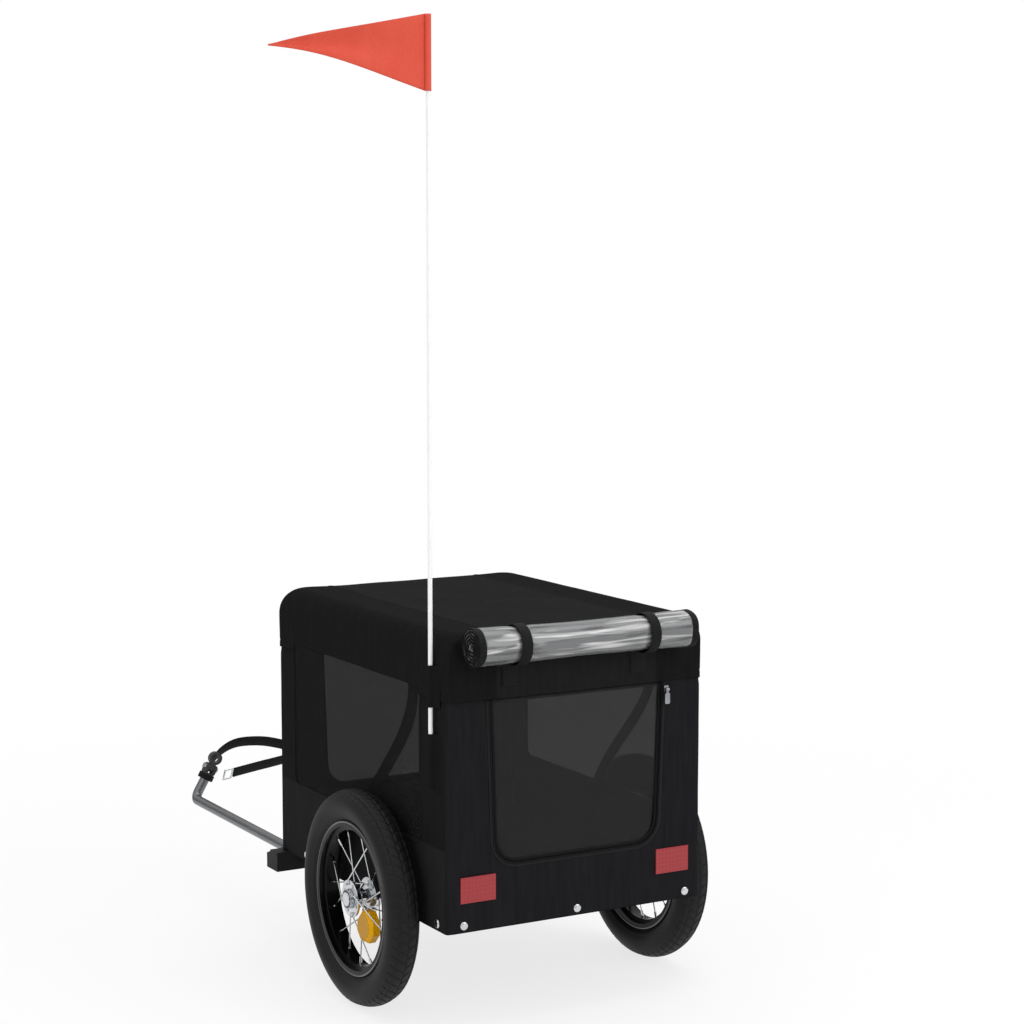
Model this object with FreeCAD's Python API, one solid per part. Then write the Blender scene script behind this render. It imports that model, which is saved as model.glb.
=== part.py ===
import FreeCAD, Part
import math
import os

# A two-wheeled dog trailer for a bicycle: a cloth cabin on a square-tube base frame, two spoked wheels on
# stub axles, a bent drawbar with a hitch eye, a pennant on a pole and a rolled rain cover.
# Millimetres. +Y is forward, towards the drawbar, +X is to the right and +Z is up. The pieces are drawn
# about the middle of the cabin with the ground at zero. At the end all of them move together, so that the
# origin lies on the ground under the middle of the whole trailer.

os.makedirs("parts", exist_ok=True)

# Clearances that every sub-assembly shares
overrun = 10.0
seat_gap = 0.3
running_clearance = 0.05

# Wheels
tyre_radius = 150.0
tyre_width = 46.0
tyre_section_height = 42.5
tyre_wall = 3.5
tyre_crown = 5.5
tread_half_width = 13.0
tread_drop = 4.0
tread_groove_width = 3.0
tread_groove_depth = 2.0
tread_groove_offset = 5.0
tyre_bead_half_width = 13.6
tube_wall = 1.5
rim_half_width = 16.0
rim_wall = 2.0
rim_seat_depth = 6.0
rim_well_depth = 5.5
rim_well_half_width = 6.0
rim_slope_width = 2.0
wheel_gap = 9.5
axle_set_back = 72.0

# Spokes, nipples and the hub that carries them
spokes_per_flange = 8
spoke_radius = 1.0
spoke_head_radius = 2.0
spoke_head_length = 1.0
spoke_fit = 0.1
nipple_radius = 1.9
nipple_head_radius = 2.9
nipple_reach = 9.0
nipple_head_lift = 3.2
nipple_head_length = 1.6
nipple_floor = 1.5
flange_radius = 26.0
flange_thickness = 3.0
flange_offset = 14.0
flange_hole_circle = 20.0
hub_inner_reach = 25.0
hub_boss_radius = 17.0
hub_waist_radius = 12.0
hub_waist_inner = 4.0
hub_waist_outer = 2.0
hub_waist_slope = 4.0
hub_bore_radius = 7.0
bearing_radius = 14.0
bearing_width = 8.0
bearing_fit = 0.02
bearing_seal_inset = 2.5
bearing_seal_depth = 0.6

# Stub axles, their receivers and the release buttons
axle_radius = 6.0
axle_side_play = 0.5
axle_collar_radius = 9.5
receiver_radius = 8.0
receiver_fit = 0.2
receiver_inner_reach = 30.0
receiver_stand_out = 3.0
axle_tail_gap = 5.0
cap_radius = 13.5
cap_floor = 1.2
cap_height = 5.0
button_radius = 10.0
button_fit = 0.3
button_thickness = 2.5
button_lift = 4.0
button_stem_radius = 3.0
button_stem_length = 16.0
button_bore_spare = 5.0

# Valve and spoke reflector on each wheel
valve_radius = 3.0
valve_length = 34.0
valve_angle = 191.25
reflector_angle = 225.0
reflector_start_radius = 23.0
reflector_rim_gap = 16.0
reflector_inner_reach = 3.0
reflector_outer_reach = 12.0
reflector_bevel = 5.0
reflector_sides = 8

# Base frame and floor
rail_size = 20.0
rail_wall = 1.5
rail_corner_radius = 20.0
rail_inner_corner_radius = 5.0
floor_thickness = 8.0

# Cabin cover
cabin_width = 400.0
cabin_length = 532.0
cabin_height = 400.0
cloth_thickness = 2.0
cabin_corner_radius = 6.0
roof_edge_radius = 32.0
roof_skirt_depth = 90.0
roof_lap = 1.0

# Hoops, top rails and hoop sockets
hoop_radius = 9.5
hoop_wall = 1.2
hoop_bend_radius = 45.0
top_rail_radius = 8.0
socket_wall = 2.5
socket_fit = 0.2
socket_height = 45.0

# Side windows and the webbing braces inside them
window_rear_margin = 78.0
window_front_margin = 54.0
window_height_above_base = 112.0
window_top_rise = 11.0
window_corner_radius = 12.0
mesh_thickness = 1.0
brace_width = 18.0
brace_thickness = 1.5
brace_foot_forward = 39.0
brace_foot_lift = 16.0
brace_top_back = 208.0
brace_top_drop = 42.0
brace_bow = 10.0

# End doors, their bound edges and zips
door_top_half_width = 135.0
door_bottom_half_width = 127.0
door_bottom_lift = 86.0
door_corner_radius = 35.0
door_edge_gap = 0.8
door_binding_width = 8.0
door_hinge_drop = 1.5
zip_tape_width = 6.0
zip_tape_thickness = 1.2
slider_width = 7.0
slider_height = 10.0
slider_thickness = 3.5
slider_inset = 1.2
slider_drop = 4.0
pull_width = 3.6
pull_lug_thickness = 1.2
pull_pin_radius = 1.0
pull_pin_stand_off = 2.6
pull_eye_radius = 2.1
pull_blade_width = 8.0
pull_blade_length = 15.0
pull_blade_thickness = 1.4

# Rolled rain cover and its straps
roll_radius = 28.0
roll_core_radius = 5.5
roll_pitch = 4.5
roll_sheet = 2.0
roll_half_length = 170.0
roll_binding_length = 10.0
roll_seat_angle = 20.0
roll_strap_spacing = 100.0
roll_strap_width = 16.0
roll_strap_thickness = 1.5
roll_strap_fit = 0.4
roll_tab_width = 25.0
roll_tab_bottom_drop = 74.0
roll_strap_roof_length = 34.0

# Reflective patches and cover bolts
patch_width = 53.0
patch_height = 35.0
patch_thickness = 1.5
patch_inner_edge = 127.0
patch_lift = 40.0
bolt_head_radius = 6.0
bolt_head_height = 3.0
bolt_head_round = 2.4
bolt_shank_radius = 2.5
bolt_hole_fit = 0.3
bolt_tail = 2.0
end_bolt_spacing = 175.0
side_bolt_rear_margin = 26.0
side_bolt_front_margin = 93.0

# Flag pole, its sleeves and the pennant
pole_radius = 3.0
pole_stand_off = 6.0
pole_rear_margin = 31.0
pole_top_height = 1335.0
pole_cap_radius = 3.8
pole_cap_height = 3.0
sleeve_fit = 0.3
sleeve_wall = 1.5
sleeve_top_drop = 42.5
sleeve_length = 56.0
pocket_top_drop = 134.0
pocket_length = 74.0
pocket_floor = 2.0
pennant_hoist = 97.0
pennant_length = 203.0
pennant_tip_drop = 45.0
pennant_tip_height = 4.0
pennant_wave = 6.0
pennant_thickness = 0.8
pennant_sleeve_wall = 0.8
pennant_turn = 23.0

# Drawbar, its bracket and the coupling at its end
drawbar_radius = 8.0
drawbar_wall = 1.5
drawbar_side_offset = 168.0
drawbar_drop = 15.0
drawbar_reach = 428.0
drawbar_bend_radius = 14.0
drawbar_lean = 30.0
drawbar_leg_length = 48.0
drawbar_insertion = 50.0
bracket_left_reach = 51.0
bracket_right_reach = 62.0
bracket_depth = 29.0
bracket_wall = 4.0
bracket_rear_reach = 26.0
bracket_nose_length = 12.0
bracket_shoulder_height = 22.0
bracket_crest_drop = 0.5
bracket_boss_wall = 3.5
bracket_bolt_radius = 3.0
bracket_bolt_head_radius = 5.0
bracket_bolt_head_height = 4.0
bracket_bolt_left = 18.0
bracket_bolt_right = 40.0
fork_sleeve_wall = 3.0
fork_sleeve_length = 12.0
fork_cheek_inner = 5.2
fork_cheek_outer = 10.0
fork_cheek_radius = 7.0
fork_pivot_height = 57.0
fork_bolt_radius = 3.0
fork_bolt_head_radius = 5.0
fork_bolt_head_height = 3.0
eye_centre_height = 75.0
eye_radius = 11.0
eye_hole_radius = 7.0
eye_half_thickness = 5.0
eye_tang_half_width = 5.0
eye_tang_radius = 6.0

# Safety strap with its sewn collar and end ring
strap_width = 20.0
strap_thickness = 2.0
strap_tilt = 29.0
strap_corner_share = 0.45
collar_wall = 2.0
collar_height = 10.0
ring_wire_radius = 1.6
ring_half_length = 7.0
# The strap's route from the collar out, round and back, measured from the drawbar's bend.
strap_route = [
    (27.0, 15.5, 38.0),
    (40.0, 26.0, 50.0),
    (55.0, 35.0, 63.0),
    (76.0, 40.0, 74.0),
    (97.0, 40.0, 79.6),
    (127.0, 38.0, 79.0),
    (149.0, 38.0, 75.6),
    (171.0, 36.0, 69.7),
    (191.0, 25.0, 64.0),
    (198.0, 8.0, 59.5),
    (188.0, -8.0, 56.0),
    (147.5, -16.0, 52.0),
    (102.0, -18.0, 47.0),
    (62.0, -18.0, 41.0),
]

# Heights and half sizes that several sub-assemblies share
axle_height = tyre_radius
rail_bottom = axle_height - rail_size / 2
rail_top = rail_bottom + rail_size
cabin_bottom = rail_bottom
cabin_top = cabin_bottom + cabin_height
skirt_bottom = cabin_top - roof_skirt_depth
half_width = cabin_width / 2
half_length = cabin_length / 2
inner_half_width = half_width - cloth_thickness
inner_half_length = half_length - cloth_thickness
roof_half_width = half_width + roof_lap
roof_half_length = half_length + roof_lap
wheel_plane = half_width + wheel_gap + tyre_width / 2
axle_y = -axle_set_back
bolt_hole_radius = bolt_shank_radius + bolt_hole_fit


def vec(x, y, z):
    return FreeCAD.Vector(x, y, z)


X_AXIS = vec(1, 0, 0)
Y_AXIS = vec(0, 1, 0)
Z_AXIS = vec(0, 0, 1)
MIDDLE = vec(0, 0, 0)


def block(x_range, y_range, z_range):
    """A box between two values on each axis."""
    low = vec(min(x_range), min(y_range), min(z_range))
    high = vec(max(x_range), max(y_range), max(z_range))
    size = high.sub(low)
    return Part.makeBox(size.x, size.y, size.z, low)


def rod(radius, start, end):
    """A round bar from one point to another."""
    run = end.sub(start)
    return Part.makeCylinder(radius, run.Length, start, run)


def round_edges(shape, radius, axis, chosen=lambda centre: True):
    """Rounds the edges that run along an axis and whose middle is chosen."""
    edges = []
    for edge in shape.Edges:
        run = edge.Vertexes[-1].Point.sub(edge.Vertexes[0].Point)
        along = run.Length > 0 and abs(run.dot(axis)) > 0.999 * run.Length
        if along and chosen(edge.CenterOfMass):
            edges.append(edge)
    return shape.makeFillet(radius, edges)


def rounded_prism(half_x, half_y, radius, low, high):
    """An upright prism on a rectangle with round corners, about the middle."""
    return round_edges(block((-half_x, half_x), (-half_y, half_y), (low, high)), radius, Z_AXIS)


def polygon_face(points):
    return Part.Face(Part.makePolygon(points + points[:1]))


def turned(points, centre):
    """A ring about X: the points are distances along X and radii, closed to a face and turned once."""
    face = polygon_face([vec(along, radius, 0) for along, radius in points])
    return face.revolve(MIDDLE, X_AXIS, 360).translated(centre)


def swept(radius, path):
    """A round solid along a path of lines and tangent arcs."""
    start = path.Edges[0]
    circle = Part.Circle(start.valueAt(start.FirstParameter), start.tangentAt(start.FirstParameter), radius)
    return path.makePipeShell([Part.Wire(circle.toShape())], True, False)


def rounded_path(points, radius_at):
    """Straight runs joined by tangent arcs. radius_at gives each corner's radius from its two runs."""
    edges = []
    last = points[0]
    for before, corner, after in zip(points, points[1:], points[2:]):
        back = before.sub(corner)
        onward = after.sub(corner)
        half_turn = (math.pi - back.getAngle(onward)) / 2
        radius = radius_at(back.Length, onward.Length, half_turn)
        tangent = radius * math.tan(half_turn)
        back.normalize()
        onward.normalize()
        enter = corner.add(back * tangent)
        leave = corner.add(onward * tangent)
        inward = back.add(onward)
        inward.normalize()
        middle = corner.add(inward * (radius / math.cos(half_turn) - radius))
        edges.append(Part.LineSegment(last, enter).toShape())
        edges.append(Part.Arc(enter, middle, leave).toShape())
        last = leave
    edges.append(Part.LineSegment(last, points[-1]).toShape())
    return Part.Wire(edges)


def joined(shapes):
    return shapes[0].fuse(shapes[1:]).removeSplitter()


def mirrored(shapes, normal):
    return [shape.mirror(MIDDLE, normal) for shape in shapes]


nodes = {}
references = {}
zip_tapes = []


def keep(name, *shapes):
    nodes[name] = list(shapes)


# Base frame

def cover_bolt_places():
    """Each cover bolt's point on the cloth's outside and the way that it points out."""
    places = []
    for end in (-1, 1):
        for across in (-end_bolt_spacing, 0, end_bolt_spacing):
            places.append((vec(across, end * half_length, axle_height), vec(0, end, 0)))
    for side in (-1, 1):
        for along in (side_bolt_rear_margin - half_length, half_length - side_bolt_front_margin):
            places.append((vec(side * half_width, along, axle_height), vec(side, 0, 0)))
    return places


def bracket_bolt_places():
    """Where the two bracket bolts go up into the front rail, either side of the drawbar."""
    front_rail = inner_half_length - rail_size / 2
    return [
        (-drawbar_side_offset - bracket_bolt_left, front_rail),
        (bracket_bolt_right - drawbar_side_offset, front_rail),
    ]


def cover_bolt_holes():
    depth = cloth_thickness + rail_wall + bolt_tail
    return [
        rod(bolt_hole_radius, point.add(out * overrun), point.sub(out * depth))
        for point, out in cover_bolt_places()
    ]


def build_base_frame():
    """A rail loop with the axle crossbar welded in, bored for the receivers and the bolts."""
    low, high = rail_bottom, rail_top
    inner_x = inner_half_width - rail_size
    inner_y = inner_half_length - rail_size
    outside = rounded_prism(inner_half_width, inner_half_length, rail_corner_radius, low, high)
    inside = rounded_prism(inner_x, inner_y, rail_inner_corner_radius, low - overrun, high + overrun)
    cavity = rounded_prism(
        inner_half_width - rail_wall,
        inner_half_length - rail_wall,
        rail_corner_radius - rail_wall,
        low + rail_wall,
        high - rail_wall,
    ).cut(
        rounded_prism(
            inner_x + rail_wall,
            inner_y + rail_wall,
            rail_inner_corner_radius + rail_wall,
            low - overrun,
            high + overrun,
        )
    )
    loop = outside.cut(inside).cut(cavity)
    half = rail_size / 2
    bar = block((-inner_x, inner_x), (axle_y - half, axle_y + half), (low, high))
    bore = half - rail_wall
    bar_hollow = (low + rail_wall, high - rail_wall)
    bar = bar.cut(block((-inner_x, inner_x), (axle_y - bore, axle_y + bore), bar_hollow))
    frame = joined([loop, bar])
    frame = frame.cut(
        rod(
            receiver_radius + receiver_fit,
            vec(-inner_half_width - overrun, axle_y, axle_height),
            vec(inner_half_width + overrun, axle_y, axle_height),
        )
    )
    for x, y in bracket_bolt_places():
        hole = bracket_bolt_radius + bolt_hole_fit
        frame = frame.cut(rod(hole, vec(x, y, low - overrun), vec(x, y, low + rail_size / 2)))
    keep("base_frame", frame.cut(cover_bolt_holes()))


def build_floor():
    """A board on the rails, notched at the corners round the hoop sockets."""
    half_x = inner_half_width - seat_gap
    half_y = inner_half_length - seat_gap
    board = block((-half_x, half_x), (-half_y, half_y), (rail_top, rail_top + floor_thickness))
    clear = hoop_radius + socket_fit + socket_wall + seat_gap
    notch_x = hoop_half_width - clear
    notch_y = hoop_y - clear
    for side in (-1, 1):
        for end in (-1, 1):
            board = board.cut(
                block(
                    (side * notch_x, side * (half_x + overrun)),
                    (end * notch_y, end * (half_y + overrun)),
                    (rail_top - overrun, rail_top + floor_thickness + overrun),
                )
            )
    keep("floor_board", board)


# Hoops, top rails and sockets. Each hoop stands so that its top bears on the round edge of the roof.

hoop_half_width = inner_half_width - seat_gap - socket_wall - socket_fit - hoop_radius
hoop_seat_reach = roof_edge_radius - cloth_thickness - seat_gap - hoop_radius
hoop_y = roof_half_length - roof_edge_radius + hoop_seat_reach * math.sqrt(0.5)
hoop_top = cabin_top - roof_edge_radius + hoop_seat_reach * math.sqrt(0.5)


def hoop_path(y):
    points = [
        vec(-hoop_half_width, y, rail_top),
        vec(-hoop_half_width, y, hoop_top),
        vec(hoop_half_width, y, hoop_top),
        vec(hoop_half_width, y, rail_top),
    ]
    return rounded_path(points, lambda back, onward, half_turn: hoop_bend_radius)


def build_hoops():
    for name, end in (("rear_hoop", -1), ("front_hoop", 1)):
        path = hoop_path(end * hoop_y)
        keep(name, swept(hoop_radius, path).cut(swept(hoop_radius - hoop_wall, path)))
    bend_reach = hoop_bend_radius * (1 - math.sqrt(0.5))
    rail_x = hoop_half_width - bend_reach
    rail_z = hoop_top - bend_reach
    hollows = [swept(hoop_radius + seat_gap, hoop_path(end * hoop_y)) for end in (-1, 1)]
    rails = []
    for side in (-1, 1):
        start = vec(side * rail_x, -hoop_y, rail_z)
        end = vec(side * rail_x, hoop_y, rail_z)
        rail = rod(top_rail_radius, start, end).cut(rod(top_rail_radius - hoop_wall, start, end))
        rails.append(max(rail.cut(hollows).Solids, key=lambda solid: solid.Volume))
    keep("top_rails", *rails)
    sockets = []
    bore = hoop_radius + socket_fit
    for side in (-1, 1):
        for end in (-1, 1):
            foot = vec(side * hoop_half_width, end * hoop_y, rail_top)
            head = foot.add(Z_AXIS * socket_height)
            sockets.append(rod(bore + socket_wall, foot, head).cut(rod(bore, foot, head)))
    keep("hoop_sockets", *sockets)


# Cabin cover

def roof_form(inset, low):
    """The roof's outside, or its inside for an inset: a box whose top edges and corners are round."""
    half_x = roof_half_width - inset
    half_y = roof_half_length - inset
    top = cabin_top - inset
    radius = roof_edge_radius - inset
    plain = block((-half_x, half_x), (-half_y, half_y), (low, top))

    def at_top(centre):
        return centre.z > (low + top) / 2

    across = round_edges(plain, radius, Y_AXIS, at_top)
    along = round_edges(plain, radius, X_AXIS, at_top)
    corners = round_edges(plain, cabin_corner_radius - inset, Z_AXIS)
    return across.common(along).common(corners)


def side_window(side, inset, thickness_range):
    """The side window's opening, shrunk by an inset. It goes on up into the roof's skirt."""
    opening = block(
        (side * thickness_range[0], side * thickness_range[1]),
        (window_rear_margin - half_length + inset, half_length - window_front_margin - inset),
        (cabin_bottom + window_height_above_base + inset, skirt_bottom + window_top_rise - inset),
    )
    middle = (cabin_bottom + window_height_above_base + skirt_bottom) / 2
    return round_edges(opening, window_corner_radius, X_AXIS, lambda centre: centre.z < middle)


def door_form(inset, y_range, top):
    """The end door's opening, shrunk by an inset: tapering down to two round lower corners."""
    low = cabin_bottom + door_bottom_lift + inset
    top_half = door_top_half_width - inset
    bottom_half = door_bottom_half_width - inset
    start = min(y_range)
    outline = [
        vec(-bottom_half, start, low),
        vec(bottom_half, start, low),
        vec(top_half, start, skirt_bottom),
        vec(top_half, start, skirt_bottom + overrun),
        vec(-top_half, start, skirt_bottom + overrun),
        vec(-top_half, start, skirt_bottom),
    ]
    form = polygon_face(outline).extrude(Y_AXIS * (max(y_range) - start))
    form = round_edges(form, door_corner_radius - inset, Y_AXIS, lambda centre: centre.z < low + seat_gap)
    reach = door_top_half_width + zip_tape_width + overrun
    return form.common(block((-reach, reach), y_range, (low - overrun, top)))


def build_cover():
    """Roof, four wall panels, side meshes and the webbing braces."""
    roof = roof_form(0, skirt_bottom).cut(roof_form(cloth_thickness, skirt_bottom - overrun))
    skirt_cut = (inner_half_width - overrun, roof_half_width + overrun)
    keep("roof_cover", roof.cut([side_window(side, 0, skirt_cut) for side in (-1, 1)]))

    inner_radius = cabin_corner_radius - cloth_thickness
    outside = rounded_prism(half_width, half_length, cabin_corner_radius, cabin_bottom, skirt_bottom)
    inside = rounded_prism(
        inner_half_width, inner_half_length, inner_radius, cabin_bottom - overrun, skirt_bottom + overrun
    )
    wall = outside.cut(inside).cut(cover_bolt_holes())
    split = half_length - cabin_corner_radius
    full_height = (cabin_bottom - overrun, skirt_bottom + overrun)
    full_width = (-half_width - overrun, half_width + overrun)
    for name, end in (("rear_panel", -1), ("front_panel", 1)):
        panel = wall.common(block(full_width, (end * split, end * (half_length + overrun)), full_height))
        depth = (end * (inner_half_length - overrun), end * (half_length + overrun))
        keep(name, panel.cut(door_form(0, depth, skirt_bottom + overrun)))
    nets = []
    for name, side in (("left_panel", -1), ("right_panel", 1)):
        panel = wall.common(block((0, side * (half_width + overrun)), (-split, split), full_height))
        panel = panel.cut(side_window(side, 0, (inner_half_width - overrun, half_width + overrun)))
        axle_hole = rod(
            receiver_radius + receiver_fit,
            vec(0, axle_y, axle_height),
            vec(side * (half_width + overrun), axle_y, axle_height),
        )
        keep(name, panel.cut(axle_hole))
        nets.append(side_window(side, seat_gap, (inner_half_width, inner_half_width + mesh_thickness)))
    keep("window_meshes", *nets)
    keep("side_braces", brace_webbing(-1), brace_webbing(1))


def brace_webbing(side):
    """A flat webbing brace, bowed to the rear, from the top of the rear pillar down to the floor's edge."""
    foot = vec(side * inner_half_width, brace_foot_forward, rail_top + brace_foot_lift)
    head = vec(side * inner_half_width, -brace_top_back, cabin_top - brace_top_drop)
    run = head.sub(foot)
    rearward = run.cross(X_AXIS)
    rearward.normalize()
    if rearward.y > 0:
        rearward = rearward.negative()
    middle = foot.add(run / 2).add(rearward * brace_bow)
    reach = rearward * (brace_width / 2)
    front = Part.Arc(foot.sub(reach), middle.sub(reach), head.sub(reach)).toShape()
    back = Part.Arc(head.add(reach), middle.add(reach), foot.add(reach)).toShape()
    top = Part.LineSegment(head.sub(reach), head.add(reach)).toShape()
    end = Part.LineSegment(foot.add(reach), foot.sub(reach)).toShape()
    return Part.Face(Part.Wire([front, top, back, end])).extrude(vec(-side * brace_thickness, 0, 0))


def build_end(prefix, normal):
    """The mesh door, bound edge, zip tape, slider and pull of one end, drawn for the rear."""
    outer = -half_length
    inner = -inner_half_length
    top = skirt_bottom - door_hinge_drop
    binding_inset = door_edge_gap + door_binding_width
    binding = door_form(door_edge_gap, (outer, inner), top).cut(
        door_form(binding_inset, (outer - overrun, inner + overrun), top + overrun)
    )
    mesh = door_form(binding_inset + seat_gap, (inner - mesh_thickness, inner), top)
    tape = door_form(-zip_tape_width, (outer - zip_tape_thickness, outer), top).cut(
        door_form(0, (outer - zip_tape_thickness - overrun, outer + overrun), top + overrun)
    )

    back = outer - zip_tape_thickness - seat_gap
    front = back - slider_thickness
    near = door_top_half_width + slider_inset
    slider_x = near + slider_width / 2
    slider_top = top - slider_drop
    slider_low = slider_top - slider_height
    body = block((near, near + slider_width), (back, front), (slider_low, slider_top))
    pin_y = front - pull_pin_stand_off
    pin_z = slider_top - slider_height / 2
    lug_reach = pull_width / 2 + running_clearance
    pieces = [body]
    for side in (-1, 1):
        lug_x = (slider_x + side * lug_reach, slider_x + side * (lug_reach + pull_lug_thickness))
        lug_z = (pin_z - pull_eye_radius, pin_z + pull_eye_radius)
        lug = block(lug_x, (front, pin_y - pull_pin_radius), lug_z)
        pieces.append(lug)
    pin_half = lug_reach + pull_lug_thickness
    pin_ends = (vec(slider_x - pin_half, pin_y, pin_z), vec(slider_x + pin_half, pin_y, pin_z))
    pieces.append(rod(pull_pin_radius, *pin_ends))
    slider = joined(pieces)

    half_pull = pull_width / 2
    eye_ends = (vec(slider_x - half_pull, pin_y, pin_z), vec(slider_x + half_pull, pin_y, pin_z))
    blade_half = pull_blade_thickness / 2
    neck = block(
        (slider_x - half_pull, slider_x + half_pull),
        (pin_y - blade_half, pin_y + blade_half),
        (pin_z - pull_eye_radius - slider_height / 2, pin_z),
    )
    blade_top = slider_low - running_clearance
    blade = block(
        (slider_x - pull_blade_width / 2, slider_x + pull_blade_width / 2),
        (pin_y - blade_half, pin_y + blade_half),
        (blade_top - pull_blade_length, blade_top),
    )
    blade = round_edges(blade, pull_blade_width / 4, Y_AXIS)
    pull = joined([rod(pull_eye_radius, *eye_ends), neck, blade])
    pull = pull.cut(
        rod(
            pull_pin_radius + running_clearance,
            vec(slider_x - pin_half - overrun, pin_y, pin_z),
            vec(slider_x + pin_half + overrun, pin_y, pin_z),
        )
    )

    made = {
        "door_binding": binding,
        "door_mesh": mesh,
        "zip_slider": slider,
        "zip_pull": pull,
    }
    hinge = vec(0, outer, top)
    pivot = vec(slider_x, pin_y, pin_z)
    for piece, shape in made.items():
        keep(prefix + "_" + piece, shape if normal is None else shape.mirror(MIDDLE, normal))
    zip_tapes.append(tape if normal is None else tape.mirror(MIDDLE, normal))
    turn = 1 if normal is None else -1
    references[prefix + "_door_hinge"] = vec(hinge.x, turn * hinge.y, hinge.z)
    references[prefix + "_pull_pivot"] = vec(pivot.x, turn * pivot.y, pivot.z)


def build_rear_patches():
    patches = []
    low = cabin_bottom + patch_lift
    for side in (-1, 1):
        patches.append(
            block(
                (side * patch_inner_edge, side * (patch_inner_edge + patch_width)),
                (-half_length - patch_thickness, -half_length),
                (low, low + patch_height),
            )
        )
    keep("rear_reflectors", *patches)


def build_cover_bolts():
    bolts = []
    for point, out in cover_bolt_places():
        head = rod(bolt_head_radius, point, point.add(out * bolt_head_height))
        outer_face = max(head.Faces, key=lambda face: face.CenterOfMass.dot(out))
        head = head.makeFillet(bolt_head_round, outer_face.Edges)
        tail = point.sub(out * (cloth_thickness + rail_wall + bolt_tail))
        bolts.append(joined([head, rod(bolt_shank_radius, point, tail)]))
    keep("cover_bolts", *bolts)


# Rolled rain cover: a sheet wound into a spiral of half turns, on the roof's round rear edge

def build_roll():
    seat = roof_edge_radius + seat_gap + roll_radius
    angle = math.radians(roll_seat_angle)
    edge_y = roof_edge_radius - roof_half_length
    edge_z = cabin_top - roof_edge_radius
    centre_y = edge_y - seat * math.cos(angle)
    centre_z = edge_z + seat * math.sin(angle)

    step = roll_pitch / 2
    half_turns = int((roll_radius - roll_sheet / 2 - roll_core_radius) / step)
    half_turns -= half_turns % 2
    first = roll_radius - roll_sheet / 2 - half_turns * step

    def arc(index, shift):
        """Half turn number index: even ones about the centre, odd ones half a step aside."""
        radius = first + index * step + shift
        middle = 0 if index % 2 == 0 else step
        side = 1 if index % 2 == 0 else -1
        points = (middle + side * radius, side * radius, middle - side * radius)
        return Part.Arc(vec(0, 0, points[0]), vec(0, points[1], middle), vec(0, 0, points[2])).toShape()

    half = roll_sheet / 2
    outer = [arc(index, half) for index in range(half_turns + 1)]
    inner = [arc(index, -half) for index in range(half_turns + 1)]
    outer_end = outer[-1].Vertexes[-1].Point
    inner_end = inner[-1].Vertexes[-1].Point
    caps = [
        Part.LineSegment(outer[0].Vertexes[0].Point, inner[0].Vertexes[0].Point).toShape(),
        Part.LineSegment(outer_end, inner_end).toShape(),
    ]
    section = Part.Face(Part.Wire(Part.__sortEdges__(outer + inner + caps)))
    # The last half turn faces the roof, so the spiral is turned about X until it bears on the seat.
    section.rotate(MIDDLE, X_AXIS, -roll_seat_angle)
    section.translate(vec(0, centre_y, centre_z))

    turns = [arc(index, 0) for index in range(half_turns + 1)]
    gap = min(
        turns[index].distToShape(turns[index + 2])[0] for index in range(len(turns) - 2)
    ) - roll_sheet
    print("rain cover roll: half turns", half_turns + 1, "least gap to itself", round(gap, 3))

    sheet_half = roll_half_length - roll_binding_length
    sheet = section.translated(vec(-sheet_half, 0, 0)).extrude(X_AXIS * (2 * sheet_half))
    keep("rain_cover_roll", sheet)
    keep(
        "rain_cover_bindings",
        section.translated(vec(-roll_half_length, 0, 0)).extrude(X_AXIS * roll_binding_length),
        section.translated(vec(sheet_half, 0, 0)).extrude(X_AXIS * roll_binding_length),
    )
    build_roll_straps(centre_y, centre_z)


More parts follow.
